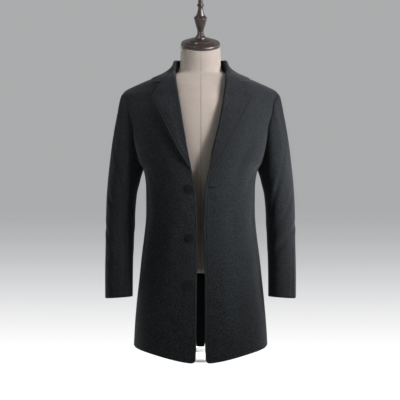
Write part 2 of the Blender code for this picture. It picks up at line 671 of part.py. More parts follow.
def collar_section(station, face):
    """The collar at a row of its table: the stand's foot, the fold and the fall's leaf."""
    top = np.array([station.x, station.y, station.height])
    edge_angle = math.radians(station.edge_angle)
    edge = body(edge_angle, station.edge_height)
    edge = edge + body_normal(edge_angle, station.edge_height) * (REST + FOLD_CLOTH * face)
    outward = edge - top
    outward[2] = 0
    outward = unit(outward)
    up = np.array([0.0, 0.0, 1.0])

    def way(degrees):
        return outward * math.cos(math.radians(degrees)) + up * math.sin(math.radians(degrees))

    inner_radius = CLOTH / 2 + REST
    centre = top - way(station.fold) * (inner_radius + FOLD_CLOTH)
    radius = inner_radius + FOLD_CLOTH * face
    nose = [centre + radius * way(station.fold - 90 + turn) for turn in np.linspace(0, 180, NOSE_COLUMNS)]
    stand_way = way(station.stand_angle)
    foot = centre + station.stand_length * stand_way + radius * way(station.stand_angle - 90)
    pull = nose[0] - way(station.fold) * station.fall_pull
    t = np.linspace(0, 1, LAPEL_COLUMNS)[:, None]
    fall = nose[0] * (1 - t) ** 2 + 2 * pull * t * (1 - t) + edge * t**2
    return np.concatenate([[foot], nose[:0:-1], fall])


def collar(look):
    faces = []
    for face in (1, 0):
        half = [collar_section(station, face) for station in COLLAR]
        left = [collar_end("left", face), *half]
        right = [points * (-1, 1, 1) for points in [collar_end("right", face), *half[:-1]]]
        rows = [*left, *right[::-1]]
        grid = through(rows, [COLLAR_STEPS] * (len(rows) - 1))
        grid[:, NOSE_COLUMNS:] = clear_of_body(grid[:, NOSE_COLUMNS:], REST + FOLD_CLOTH * face)
        faces.append(grid)
    return wall("collar", faces[0], faces[1], look, "left")


def buttons(look):
    for place, (x, height) in BUTTONS.items():
        made = turned(f"button_{place}", BUTTON, look)
        angle = front_angle(x, height)
        out = body_normal(angle, height) * (-1, 1, 1)
        base = body(angle, height) * (-1, 1, 1) + out * GAP
        turn = Vector((0, 0, 1)).rotation_difference(Vector(out))
        made.matrix_world = Matrix.Translation(Vector(base)) @ turn.to_matrix().to_4x4()
        for quarter in range(4):
            cutter = button_hole(f"cutter_{place}_{quarter}", quarter, look)
            cutter.parent = made
            cut = made.modifiers.new(f"hole {quarter}", "BOOLEAN")
            cut.object = cutter
            cut.solver = "EXACT"


def button_hole(name, quarter, look):
    shape = bmesh.new()
    turn = math.radians(45 + 90 * quarter)
    place = Matrix.Translation((BUTTON_HOLE_REACH * math.cos(turn), BUTTON_HOLE_REACH * math.sin(turn), 0.002))
    bmesh.ops.create_cone(
        shape, cap_ends=True, segments=6, radius1=BUTTON_HOLE, radius2=BUTTON_HOLE, depth=0.01, matrix=place
    )
    mesh = bpy.data.meshes.new(name)
    shape.to_mesh(mesh)
    shape.free()
    made = add(name, mesh, look)
    made.hide_render = True
    made.display_type = "WIRE"
    return made


def form_torso(look):
    """Rings from the form's underside to the neck's sloping top, closed at both ends."""
    angles = np.linspace(0, math.tau, FORM_COLUMNS, endpoint=False)
    rings = []
    for row in FORM:
        ring = section(FORM, angles, np.full(FORM_COLUMNS, row.height))
        slant = np.clip((row.height - NECK_SLANT_FROM) / (NECK_TOP - NECK_SLANT_FROM), 0, 1)
        ring[:, 2] += slant * math.tan(CAP_SLOPE) * ring[:, 1]
        rings.append(ring)
    shape = bmesh.new()
    made = [[shape.verts.new(point) for point in ring] for ring in rings]
    for low, high in zip(made, made[1:]):
        for i in range(FORM_COLUMNS):
            after = (i + 1) % FORM_COLUMNS
            shape.faces.new((low[i], low[after], high[after], high[i]))
    shape.faces.new(made[0][::-1])
    shape.faces.new(made[-1])
    mesh = bpy.data.meshes.new("form_torso")
    shape.to_mesh(mesh)
    shape.free()
    mesh.shade_smooth()
    mesh.set_sharp_from_angle(angle=math.radians(40))
    return add("form_torso", mesh, look)


def leaning(made, along):
    """Stands a turned piece on the neck's sloping top, this far along its axis."""
    lean = Matrix.Rotation(CAP_SLOPE, 4, "X")
    made.matrix_world = Matrix.Translation((0, 0, NECK_TOP)) @ lean @ Matrix.Translation((0, 0, along))


def form(linen, wood, steel, black):
    form_torso(linen)
    leaning(turned("form_cap", CAP, wood, TURNED_STEPS), GAP)
    leaning(turned("form_finial", FINIAL, wood), CAP[-1].height + 2 * GAP)
    turned("form_base", FOOT, steel, TURNED_STEPS)
    low, high = FOOT[-1].height + GAP, FORM[0].height - GAP
    post = [Turn(0, low), Turn(POST_RADIUS, low), Turn(POST_RADIUS, high), Turn(0, high)]
    turned("form_post", post, black)


def main():
    for old in list(bpy.data.objects):
        bpy.data.objects.remove(old)
    wool = material("charcoal_wool", (0.026, 0.030, 0.035), 0.85)
    horn = material("black_horn", (0.008, 0.008, 0.009), 0.35)
    linen = material("cream_linen", (0.62, 0.56, 0.47), 0.8)
    wood = material("dark_wood", (0.05, 0.035, 0.025), 0.35)
    steel = material("white_steel", (0.75, 0.75, 0.74), 0.4)
    black = material("black_steel", (0.02, 0.02, 0.02), 0.5)
    for side in ("right", "left"):
        front(side, wool)
        back(side, wool)
        sleeve(f"sleeve_top_{side}", BACK_SEAM - 2 * YOKE_ROWS, FRONT_SEAM, side, wool)
        sleeve(f"sleeve_under_{side}", FRONT_SEAM, BACK_SEAM, side, wool)
        lapel(side, wool)
    collar(wool)
    buttons(horn)
    form(linen, wood, steel, black)


main()
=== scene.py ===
"""Looks for the overcoat on its dress form: fine cloth, seams, stitches, linen, wood, light and camera.

The cloth repeats the sizes and functions of the part's source at a finer step, with its folds added.
Metres, +Z up, the coat faces -Y and the wearer's left is at +X.
"""

import math
from collections import namedtuple

import bpy
import numpy as np
from mathutils import Matrix, Vector


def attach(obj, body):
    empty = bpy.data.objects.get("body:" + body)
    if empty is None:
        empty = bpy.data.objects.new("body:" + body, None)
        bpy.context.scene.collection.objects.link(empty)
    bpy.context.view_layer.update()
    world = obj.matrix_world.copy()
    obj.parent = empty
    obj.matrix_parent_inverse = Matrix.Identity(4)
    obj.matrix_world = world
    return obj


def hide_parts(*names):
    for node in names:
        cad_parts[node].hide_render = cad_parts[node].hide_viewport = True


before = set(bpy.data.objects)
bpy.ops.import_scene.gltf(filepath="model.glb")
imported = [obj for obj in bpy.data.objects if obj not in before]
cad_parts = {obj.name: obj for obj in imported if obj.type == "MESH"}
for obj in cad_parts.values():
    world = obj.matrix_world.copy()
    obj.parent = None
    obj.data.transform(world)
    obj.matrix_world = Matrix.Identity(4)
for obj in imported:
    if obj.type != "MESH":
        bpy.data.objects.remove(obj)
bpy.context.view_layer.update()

CLOTH = 0.003
FOLD_CLOTH = 0.0025
GAP = 0.0003
SEWN = 0.00001  # between pieces that are sewn edge to edge, so that no light shows through a seam
REST = 0.0012  # between a folded leaf of cloth and the cloth that it lies on
UNDERARM = 0.567
SHOULDER_TIP = 0.8057
NECK_POINT = 0.8655
BACK_NECK = 0.857
HEM_CENTRE = 0.008
HEM_SIDE = 0.037
HEM_CORNER = 0.012
ARMHOLE_FRONT = 0.060
ARMHOLE_BACK = 0.062
UNDERARM_BACK = 0.015
SEWN_ROUNDING = 0.7  # how much of a full rounding an edge has that is sewn to another
STITCH_INSET = 0.0075  # from a finished edge to its row of stitches
ROUND_WEIGHTS = (0.42, 0.15, 0.04)  # how far an edge and the next rows are drawn in, in thicknesses
EDGE_STEPS = (0.0006, 0.0014, 0.0026)  # how far the rows next to an edge lie from it
BODY_REACH = 0.165  # this, SIDE_REACH and RIDGE_REACH turn angles round the body into lengths:
SIDE_REACH = 0.17  # for its folds, for the gap at its side seams,
RIDGE_REACH = 0.12  # and for the gap at its shoulder seams and centre back seam
MIRROR = {"right": (-1, 1, 1), "left": (1, 1, 1)}

Slice = namedtuple("Slice", "height half_width front back middle exponent")
BODY = (
    Slice(-0.010, 0.2052, -0.1690, 0.1660, 0.000, 2.30),
    Slice(0.038, 0.2040, -0.1680, 0.1650, 0.000, 2.30),
    Slice(0.081, 0.2015, -0.1665, 0.1630, 0.000, 2.30),
    Slice(0.162, 0.1940, -0.1620, 0.1570, 0.000, 2.30),
    Slice(0.244, 0.1843, -0.1575, 0.1500, 0.000, 2.30),
    Slice(0.306, 0.1774, -0.1540, 0.1430, 0.000, 2.30),
    Slice(0.369, 0.1690, -0.1505, 0.1330, 0.000, 2.30),
    Slice(0.430, 0.1636, -0.1475, 0.1240, 0.000, 2.30),
    Slice(0.509, 0.1640, -0.1460, 0.1220, 0.000, 2.30),
    Slice(0.567, 0.1720, -0.1465, 0.1280, 0.000, 2.30),
    Slice(0.584, 0.1830, -0.1465, 0.1295, 0.001, 2.30),
    Slice(0.612, 0.1935, -0.1465, 0.1300, 0.002, 2.25),
    Slice(0.651, 0.2053, -0.1445, 0.1290, 0.004, 2.20),
    Slice(0.697, 0.2169, -0.1395, 0.1265, 0.006, 2.05),
    Slice(0.736, 0.2347, -0.1320, 0.1220, 0.008, 1.80),
    Slice(0.773, 0.2480, -0.1220, 0.1150, 0.008, 1.50),
    Slice(0.788, 0.2550, -0.1170, 0.1110, 0.008, 1.42),
    Slice(0.8058, 0.2255, -0.1110, 0.1060, 0.008, 1.50),
    Slice(0.8314, 0.1700, -0.0980, 0.0950, 0.008, 1.70),
    Slice(0.8498, 0.1224, -0.0820, 0.0830, 0.008, 1.85),
    Slice(0.8650, 0.0800, -0.0640, 0.0735, 0.008, 2.00),
    Slice(0.8760, 0.0560, -0.0520, 0.0640, 0.008, 2.00),
)
Edge = namedtuple("Edge", "height right left")
FRONT_EDGE = (
    Edge(0.000, 0.0150, 0.0150),
    Edge(0.079, 0.0118, 0.0129),
    Edge(0.230, 0.0101, 0.0124),
    Edge(0.380, 0.0084, 0.0092),
    Edge(0.459, 0.0095, 0.0104),
    Edge(0.519, 0.0178, 0.0147),
    Edge(0.570, 0.0255, 0.0239),
    Edge(0.623, 0.0360, 0.0334),
    Edge(0.665, 0.0430, 0.0438),
    Edge(0.708, 0.0503, 0.0537),
    Edge(0.751, 0.0574, 0.0612),
    Edge(0.793, 0.0648, 0.0680),
    Edge(0.827, 0.0705, 0.0722),
    Edge(0.8545, 0.0735, 0.0740),
    Edge(0.8800, 0.0745, 0.0745),
)
LAPEL_FOOT = UNDERARM
FOLD_RUN_IN = 0.0025  # over this height below a lapel the front's edge moves in to the fold
ROLL_LENGTH = 0.050  # a lapel's fold is fully rolled at this height above its foot
ROLL_START = 0.25  # of the full roll, at the lapel's foot
FOOT_LIFT = 0.35  # of the lapel's full distance from the front, at its foot
ROW_CROWDING = 1.4  # above 1, a lapel's rows of points lie closer together by the gorge
LAPEL_CORNER = (0.035, 0.010)  # the rounding of a lapel's upper corner, in its grid's own shares
GORGE = 0.8545
Outline = namedtuple("Outline", "height x")
LAPEL_EDGE = (
    Outline(0.567, 0.0295),
    Outline(0.617, 0.0605),
    Outline(0.665, 0.0850),
    Outline(0.693, 0.1000),
    Outline(0.7475, 0.1305),
    Outline(0.779, 0.1515),
)
# How much further out the left lapel's edge swells than the right one's.
LEFT_SWELL = (
    Outline(0.567, 0.0),
    Outline(0.610, 0.0056),
    Outline(0.665, 0.0070),
    Outline(0.735, 0.0060),
    Outline(0.779, 0.0),
)
NOTCH = Outline(0.8224, 0.1160)
COLLAR_CORNER = Outline(0.8225, 0.1430)
LIFT = {"right": 0.0080, "left": 0.0020}  # how far the lapels' edges stand off, halfway up
GORGE_SHARE = 0.75  # of the lapel's and the collar's columns, up to the notch
Station = namedtuple("Station", "x y height fold stand_length stand_angle fall_pull edge_angle edge_height")
COLLAR = (
    Station(0.0748, -0.0335, 0.8735, 128, 0.015, -84, 0.030, 70.0, 0.8335),
    Station(0.0762, -0.0120, 0.8890, 106, 0.027, -84, 0.026, 79.0, 0.8395),
    Station(0.0760, 0.0100, 0.8965, 92, 0.032, -88, 0.024, 92.0, 0.8405),
    Station(0.0690, 0.0350, 0.8990, 90, 0.036, -86, 0.025, 116.0, 0.8380),
    Station(0.0480, 0.0570, 0.9000, 90, 0.040, -85, 0.032, 140.0, 0.8385),
    Station(0.0240, 0.0675, 0.9000, 90, 0.042, -86, 0.032, 161.0, 0.8420),
    Station(0.0000, 0.0705, 0.9000, 90, 0.043, -87, 0.032, 180.0, 0.8440),
)
COLLAR_LEG = 0.006  # the end of a leaf inside its fold
COLLAR_END_LIFT = 0.003  # how far the collar's front ends stand off, so the notches open
COLLAR_END_RUN = 0.05  # before the notch, in the leaf's shares, that stand-off begins
COLLAR_STEPS = 10  # rows of points between two stations
PRESSED = 0.55  # of its stand-off that the collar's fall loses at its edge
NECK_BOW = 0.04  # of the front's neckline between lapel and shoulder, in radians round the body
LAPEL_SETTLE = 0.0008  # how much further a lapel stands off at its top

Ring = namedtuple("Ring", "outer_x outer_z inner_x inner_z middle half_depth armhole")
SLEEVE = (
    Ring(0.2257, 0.8057, 0.1715, 0.5670, 0.009, 0.0610, 1.00),
    Ring(0.2337, 0.7965, 0.1745, 0.5625, 0.009, 0.0645, 0.92),
    Ring(0.2406, 0.7745, 0.1780, 0.5530, 0.010, 0.0675, 0.80),
    Ring(0.2476, 0.7420, 0.1820, 0.5400, 0.011, 0.0695, 0.66),
    Ring(0.2552, 0.7100, 0.1860, 0.5230, 0.012, 0.0700, 0.50),
    Ring(0.2666, 0.6530, 0.1930, 0.4950, 0.015, 0.0695, 0.25),
    Ring(0.2748, 0.5930, 0.1970, 0.4600, 0.017, 0.0675, 0.10),
    Ring(0.2818, 0.5300, 0.1994, 0.4250, 0.018, 0.0650, 0.00),
    Ring(0.2858, 0.4680, 0.2006, 0.3900, 0.014, 0.0625, 0.00),
    Ring(0.2866, 0.4000, 0.2020, 0.3480, 0.004, 0.0600, 0.00),
    Ring(0.2866, 0.3300, 0.2036, 0.2980, -0.010, 0.0580, 0.00),
    Ring(0.2866, 0.2580, 0.2036, 0.2450, -0.026, 0.0560, 0.00),
    Ring(0.2850, 0.1820, 0.2028, 0.1880, -0.044, 0.0540, 0.00),
)
CUFF_TILT = 0.16
LEVEL_DROP = 0.08  # a ring that drops less than this from its outer to its inner edge tilts
SLEEVE_EXPONENT = 2.2
SLEEVE_LENGTH = 0.62
SLEEVE_RADIUS = 0.055
SLEEVE_EDGE_STEPS = (0.0008, 0.0018, 0.0032)
FRONT_SEAM = math.radians(120)  # way round the sleeve from its top, forward, to its seams
BACK_SEAM = math.radians(255)

FORM = (
    Slice(0.2620, 0.1300, -0.0900, 0.0870, 0.000, 2.20),
    Slice(0.2660, 0.1430, -0.1030, 0.1000, 0.000, 2.20),
    Slice(0.2800, 0.1500, -0.1100, 0.1080, 0.000, 2.20),
    Slice(0.3300, 0.1520, -0.1130, 0.1080, 0.000, 2.20),
    Slice(0.4000, 0.1430, -0.1040, 0.0940, 0.000, 2.20),
    Slice(0.4500, 0.1370, -0.1000, 0.0860, 0.000, 2.20),
    Slice(0.5100, 0.1390, -0.1040, 0.0880, 0.000, 2.20),
    Slice(0.5700, 0.1450, -0.1120, 0.0940, 0.001, 2.20),
    Slice(0.6200, 0.1500, -0.1180, 0.1000, 0.002, 2.20),
    Slice(0.6800, 0.1600, -0.1200, 0.1040, 0.004, 2.10),
    Slice(0.7300, 0.1720, -0.1150, 0.1040, 0.006, 1.95),
    Slice(0.7700, 0.1850, -0.1060, 0.0990, 0.008, 1.75),
    Slice(0.7970, 0.1920, -0.0950, 0.0910, 0.008, 1.60),
    Slice(0.8100, 0.1905, -0.0890, 0.0870, 0.008, 1.60),
    Slice(0.8175, 0.1840, -0.0850, 0.0840, 0.008, 1.65),
    Slice(0.8255, 0.1695, -0.0800, 0.0790, 0.008, 1.70),
    Slice(0.8443, 0.1215, -0.0680, 0.0690, 0.008, 1.85),
    Slice(0.8500, 0.0990, -0.0620, 0.0650, 0.008, 1.95),
    Slice(0.8545, 0.0820, -0.0590, 0.0620, 0.006, 2.00),
    Slice(0.8585, 0.0725, -0.0570, 0.0605, 0.004, 2.00),
    Slice(0.8640, 0.0670, -0.0565, 0.0600, 0.003, 2.00),
    Slice(0.8740, 0.0630, -0.0565, 0.0595, 0.001, 2.00),
    Slice(0.8880, 0.0610, -0.0575, 0.0595, 0.000, 2.00),
    Slice(0.9100, 0.0600, -0.0590, 0.0590, 0.000, 2.00),
    Slice(0.9400, 0.0600, -0.0600, 0.0600, 0.000, 2.00),
)
NECK_TOP = 0.940
NECK_SLANT_FROM = 0.888
CAP_SLOPE = math.radians(23)
Turn = namedtuple("Turn", "radius height")
CAP = (
    Turn(0.0, 0.0),
    Turn(0.0560, 0.0),
    Turn(0.0582, 0.0018),
    Turn(0.0590, 0.0050),
    Turn(0.0578, 0.0085),
    Turn(0.0530, 0.0100),
    Turn(0.0505, 0.0095),
    Turn(0.0470, 0.0125),
    Turn(0.0400, 0.0150),
    Turn(0.0365, 0.0148),
    Turn(0.0340, 0.0178),
    Turn(0.0230, 0.0215),
    Turn(0.0165, 0.0225),
    Turn(0.0, 0.0225),
)
FINIAL = (
    Turn(0.0, 0.0),
    Turn(0.0160, 0.0),
    Turn(0.0160, 0.0030),
    Turn(0.0128, 0.0075),
    Turn(0.0098, 0.0110),
    Turn(0.0100, 0.0130),
    Turn(0.0088, 0.0145),
    Turn(0.0098, 0.0165),
    Turn(0.0098, 0.0190),
    Turn(0.0088, 0.0205),
    Turn(0.0098, 0.0245),
    Turn(0.0110, 0.0300),
    Turn(0.0142, 0.0400),
    Turn(0.0168, 0.0500),
    Turn(0.0182, 0.0560),
    Turn(0.0196, 0.0600),
    Turn(0.0196, 0.0625),
    Turn(0.0160, 0.0665),
    Turn(0.0128, 0.0700),
    Turn(0.0100, 0.0790),
    Turn(0.0076, 0.0890),
    Turn(0.0074, 0.0950),
    Turn(0.0102, 0.0975),
    Turn(0.0102, 0.1015),
    Turn(0.0074, 0.1045),
    Turn(0.0073, 0.1140),
    Turn(0.0060, 0.1165),
    Turn(0.0, 0.1165),
)
FOOT = (
    Turn(0.0, 0.0),
    Turn(0.1030, 0.0),
    Turn(0.1050, 0.0020),
    Turn(0.1050, 0.0080),
    Turn(0.1010, 0.0110),
    Turn(0.0300, 0.0140),
    Turn(0.0260, 0.0170),
    Turn(0.0250, 0.0280),
    Turn(0.0220, 0.0300),
    Turn(0.0, 0.0300),
)
POST_RADIUS = 0.0125
# The middles of the buttons and, below, of the buttonholes: x and height.
BUTTONS = {"top": (0.0314, 0.5107), "middle": (0.0294, 0.3680), "bottom": (0.0353, 0.2335)}
BUTTON = (
    Turn(0.0, 0.0),
    Turn(0.0100, 0.0),
    Turn(0.0114, 0.0006),
    Turn(0.0120, 0.0018),
    Turn(0.0120, 0.0028),
    Turn(0.0114, 0.0037),
    Turn(0.0106, 0.0039),
    Turn(0.0098, 0.0037),
    Turn(0.0090, 0.0029),
    Turn(0.0080, 0.0025),
    Turn(0.0, 0.0024),
)
BUTTON_HOLE = 0.0010
BUTTON_HOLE_REACH = 0.0024
DRILLED = (-0.004, 0.008)  # the cutters' ends, past both of the button's faces
STRAND_RADIUS = 0.00026
BUTTONHOLES = {"top": (0.0340, 0.5150), "middle": (0.0325, 0.3640), "bottom": (0.0340, 0.2250)}
BUTTONHOLE_LENGTH = 0.025
# A strand of a button's thread: how far along from the middle, in the holes' distance, and how high.
STRAND = ((-1, 0.0004), (-1, 0.0022), (-0.6, 0.0029), (0, 0.0031), (0.6, 0.0029), (1, 0.0022), (1, 0.0004))

FOLD_UNEVEN = 0.25  # how much a fold's depth varies along it
BANK_HEIGHT = 0.42  # of the low ridge along both sides of a fold, in its depths
BANK_PLACE = 1.9  # of that ridge from the fold's middle, in its widths
RUN_OUT = 1.6  # of a fold past its ends, in its widths
# Folds on the body. Places are the way round the body from the front's middle, and heights. A negative
# depth is a ridge. The bow bends the fold's middle sideways.
Fold = namedtuple("Fold", "side start_way start end_way end width depth bow")
BODY_FOLDS = (
    Fold("right", 0.150, 0.660, 0.105, 0.500, 0.016, 0.0012, 0.006),
    Fold("right", 0.180, 0.560, 0.130, 0.470, 0.012, 0.0010, -0.004),
    Fold("right", 0.215, 0.600, 0.190, 0.430, 0.014, 0.0012, 0.004),
    Fold("right", 0.120, 0.430, 0.140, 0.120, 0.028, 0.0018, 0.006),
    Fold("right", 0.210, 0.400, 0.235, 0.060, 0.030, 0.0022, -0.005),
    Fold("right", 0.070, 0.330, 0.075, 0.040, 0.024, 0.0010, 0.003),
    Fold("left", 0.150, 0.655, 0.110, 0.510, 0.015, 0.0022, -0.004),
    Fold("left", 0.185, 0.555, 0.140, 0.480, 0.011, 0.0016, 0.003),
    Fold("left", 0.220, 0.590, 0.200, 0.420, 0.014, 0.0020, -0.004),
    Fold("left", 0.105, 0.410, 0.125, 0.090, 0.026, 0.0026, -0.006),
    Fold("left", 0.200, 0.380, 0.225, 0.050, 0.030, 0.0032, 0.004),
    Fold("right", 0.330, 0.600, 0.350, 0.420, 0.018, 0.0026, 0.004),
    Fold("left", 0.335, 0.590, 0.345, 0.430, 0.018, 0.0024, -0.004),
    Fold("right", 0.420, 0.500, 0.440, 0.080, 0.034, 0.0036, -0.006),
    Fold("left", 0.425, 0.480, 0.450, 0.060, 0.032, 0.0034, 0.006),
    Fold("right", 0.360, 0.720, 0.400, 0.610, 0.016, 0.0018, 0.004),
    Fold("left", 0.365, 0.730, 0.405, 0.620, 0.016, 0.0018, -0.004),
)
# Folds on the sleeves. Places are the way round from the top, forward, and the way down from the armhole.
SLEEVE_FOLDS = (
    Fold("right", 0.060, 0.130, 0.130, 0.215, 0.012, 0.0022, 0.004),
    Fold("right", 0.050, 0.250, 0.120, 0.300, 0.012, 0.0020, -0.005),
    Fold("right", 0.020, 0.330, 0.110, 0.370, 0.011, 0.0022, 0.005),
    Fold("right", 0.040, 0.410, 0.110, 0.430, 0.012, 0.0014, 0.004),
    Fold("right", 0.260, 0.180, 0.200, 0.280, 0.014, 0.0022, 0.004),
    Fold("right", 0.280, 0.330, 0.210, 0.370, 0.012, 0.0020, -0.004),
    Fold("left", 0.060, 0.120, 0.125, 0.210, 0.012, 0.0022, -0.004),
    Fold("left", 0.045, 0.240, 0.115, 0.290, 0.012, 0.0018, 0.005),
    Fold("left", 0.020, 0.320, 0.105, 0.365, 0.011, 0.0022, -0.005),
    Fold("left", 0.040, 0.380, 0.040, 0.600, 0.007, -0.0016, 0.002),
    Fold("left", 0.260, 0.170, 0.205, 0.270, 0.014, 0.0022, -0.004),
    Fold("left", 0.280, 0.320, 0.215, 0.360, 0.012, 0.0020, 0.004),
)


def smooth(table, column, at):
    """The table's column at this place, on a curve through its rows that doesn't overshoot them."""
    knots = np.array([row[0] for row in table])
    values = np.array([getattr(row, column) for row in table])
    step = np.diff(knots)
    rise = np.diff(values) / step
    slope = np.zeros_like(values)
    slope[0], slope[-1] = rise[0], rise[-1]
    before, after = rise[:-1], rise[1:]
    turns = before * after <= 0
    before, after = np.where(turns, 1, before), np.where(turns, 1, after)
    weight, other = 2 * step[1:] + step[:-1], step[1:] + 2 * step[:-1]
    slope[1:-1] = np.where(turns, 0, (weight + other) / (weight / before + other / after))
    row = np.clip(np.searchsorted(knots, at, side="right") - 1, 0, len(step) - 1)
    t = (at - knots[row]) / step[row]
    start, end = values[row], values[row + 1]
    leave, arrive = slope[row] * step[row], slope[row + 1] * step[row]
    bend = start * (1 + 2 * t) * (1 - t) ** 2 + end * t**2 * (3 - 2 * t)
    return bend + leave * t * (1 - t) ** 2 - arrive * t**2 * (1 - t)


def unit(vectors):
    return vectors / np.maximum(np.linalg.norm(vectors, axis=-1, keepdims=True), 1e-12)


def bell(off, width):
    """1 at the middle, and 0 well away from it."""
    return np.exp(-((off / width) ** 2))


def run_along(points, axis=0, from_end=False):
    """How far each point lies along its column (axis 0) or row (axis 1) of points."""
    points = np.flip(points, axis) if from_end else points
    run = np.cumsum(np.linalg.norm(np.diff(points, axis=axis), axis=-1), axis=axis)
    run = np.insert(run, 0, 0.0, axis=axis)
    return np.flip(run, axis) if from_end else run


def spline(a, b, c, d, t):
    """What lies at the share t of the way from b to c, on a smooth curve through all four."""
    return ((2 * b) + (c - a) * t + (2 * a - 5 * b + 4 * c - d) * t**2 + (3 * b - a - 3 * c + d) * t**3) / 2


def section(table, angle, height):
    half = smooth(table, "half_width", height)
    middle = smooth(table, "middle", height)
    power = smooth(table, "exponent", height)
    ahead = middle - smooth(table, "front", height)
    behind = smooth(table, "back", height) - middle
    depth = np.where(np.cos(angle) > 0, ahead, behind)
    reach = (abs(np.sin(angle) / half) ** power + abs(np.cos(angle) / depth) ** power) ** (-1 / power)
    return np.stack([reach * np.sin(angle), middle - reach * np.cos(angle), height + 0 * reach], axis=-1)


def body(angle, height):
    return section(BODY, np.asarray(angle, float), np.asarray(height, float))


def body_normal(angle, height):
    step = 0.002
    angle, height = np.asarray(angle, float), np.asarray(height, float)
    along = body(angle + step, height) - body(angle - step, height)
    up = body(angle, height + step) - body(angle, height - step)
    return unit(np.cross(along, up))


def front_angle(x, height):
    half = smooth(BODY, "half_width", height)
    middle = smooth(BODY, "middle", height)
    power = smooth(BODY, "exponent", height)
    ahead = middle - smooth(BODY, "front", height)
    inside = np.clip(1 - (x / half) ** power, 1e-6, None)
    return np.arctan2(x, ahead * inside ** (1 / power))


def on_body(points):
    middle = smooth(BODY, "middle", points[..., 2])
    return np.stack([np.arctan2(points[..., 0], middle - points[..., 1]), points[..., 2]], axis=-1)


def along_curve(curve, share):
    """The points of a curve of angles and heights at these shares of its length over the coat."""
    run = run_along(body(curve[:, 0], curve[:, 1]))
    at = np.asarray(share) * run[-1]
    return np.stack([np.interp(at, run, curve[:, 0]), np.interp(at, run, curve[:, 1])], axis=1)


def fill(bottom, top, left, right, u, v):
    """A grid between four boundary curves, sampled at the shares u (across) and v (up)."""
    u, v = np.asarray(u)[None, :, None], np.asarray(v)[:, None, None]
    between_sides = left[:, None] * (1 - u) + right[:, None] * u
    between_ends = bottom[None] * (1 - v) + top[None] * v
    low = bottom[0] * (1 - u) + bottom[-1] * u
    high = top[0] * (1 - u) + top[-1] * u
    return between_sides + between_ends - low * (1 - v) - high * v


def clear_of_body(points, least):
    place = on_body(points)
    out = body_normal(place[..., 0], place[..., 1])
    over = ((points - body(place[..., 0], place[..., 1])) * out).sum(axis=-1, keepdims=True)
    return points + out * np.clip(least - over, 0, None)


def armhole(turn):
    middle_height = (SHOULDER_TIP + UNDERARM) / 2
    height = middle_height + (SHOULDER_TIP - UNDERARM) / 2 * np.cos(turn)
    reach = np.where(np.sin(turn) > 0, -ARMHOLE_FRONT, ARMHOLE_BACK) * abs(np.sin(turn))
    offset = reach + UNDERARM_BACK * (1 - np.cos(turn)) / 2
    middle = smooth(BODY, "middle", height)
    ahead, behind = middle - smooth(BODY, "front", height), smooth(BODY, "back", height) - middle
    depth = np.where(offset < 0, ahead, behind)
    power = smooth(BODY, "exponent", height)
    x = smooth(BODY, "half_width", height) * (1 - (abs(offset) / depth) ** power) ** (1 / power)
    return np.stack([x, middle + offset, height], axis=-1)


def sleeve_oval(ring, turn):
    outer = np.array([ring.outer_x, ring.middle, ring.outer_z])
    inner = np.array([ring.inner_x, ring.middle, ring.inner_z])
    power = 2 / SLEEVE_EXPONENT
    across = np.sign(np.cos(turn)) * abs(np.cos(turn)) ** power
    forward = np.sign(np.sin(turn)) * abs(np.sin(turn)) ** power
    points = (outer + inner) / 2 + across[:, None] * (outer - inner) / 2
    points[:, 1] -= forward * ring.half_depth
    level = np.clip(1 - (ring.outer_z - ring.inner_z) / LEVEL_DROP, 0, 1)
    points[:, 2] += CUFF_TILT * level * forward * ring.half_depth
    return points


def sleeve_ring(row, turn):
    own_shape = armhole(turn) - sleeve_oval(SLEEVE[0], turn)
    return sleeve_oval(SLEEVE[row], turn) + SLEEVE[row].armhole * own_shape


def shares(length, step, edge=EDGE_STEPS):
    """Shares from 0 to 1 along a length, closer together by both ends, for rounded edges."""
    near = np.array([0.0, *edge]) / length
    inner = np.linspace(near[-1], 1 - near[-1], max(3, round(length / step)))[1:-1]
    return np.concatenate([near, inner, 1 - near[::-1]])


def fold_depth(folds, side, way, along):
    """How far the folds of this side push each place in. Their depth is uneven along them."""
    total = np.zeros(np.broadcast(way, along).shape)
    for i, fold in enumerate(folds):
        if fold.side != side:
            continue
        run = np.array([fold.end_way - fold.start_way, fold.end - fold.start])
        length = np.hypot(*run)
        run = run / length
        t = ((way - fold.start_way) * run[0] + (along - fold.start) * run[1]) / length
        across = (along - fold.start) * run[0] - (way - fold.start_way) * run[1]
        inside = np.clip(t, 0, 1)
        beyond = (t - inside) * length
        across = across - fold.bow * np.sin(math.pi * inside)
        width = fold.width * (0.75 + 0.5 * inside)
        uneven = 1 + FOLD_UNEVEN * np.sin(7 * inside + 1.7 * i)
        hollow = bell(across, width) - BANK_HEIGHT * bell(abs(across) - BANK_PLACE * width, width)
        total += fold.depth * uneven * hollow * bell(beyond, RUN_OUT * fold.width)
    return total


def grid_normals(points):
    along = np.gradient(points, axis=1)
    up = np.gradient(points, axis=0)
    return unit(np.cross(along, up))


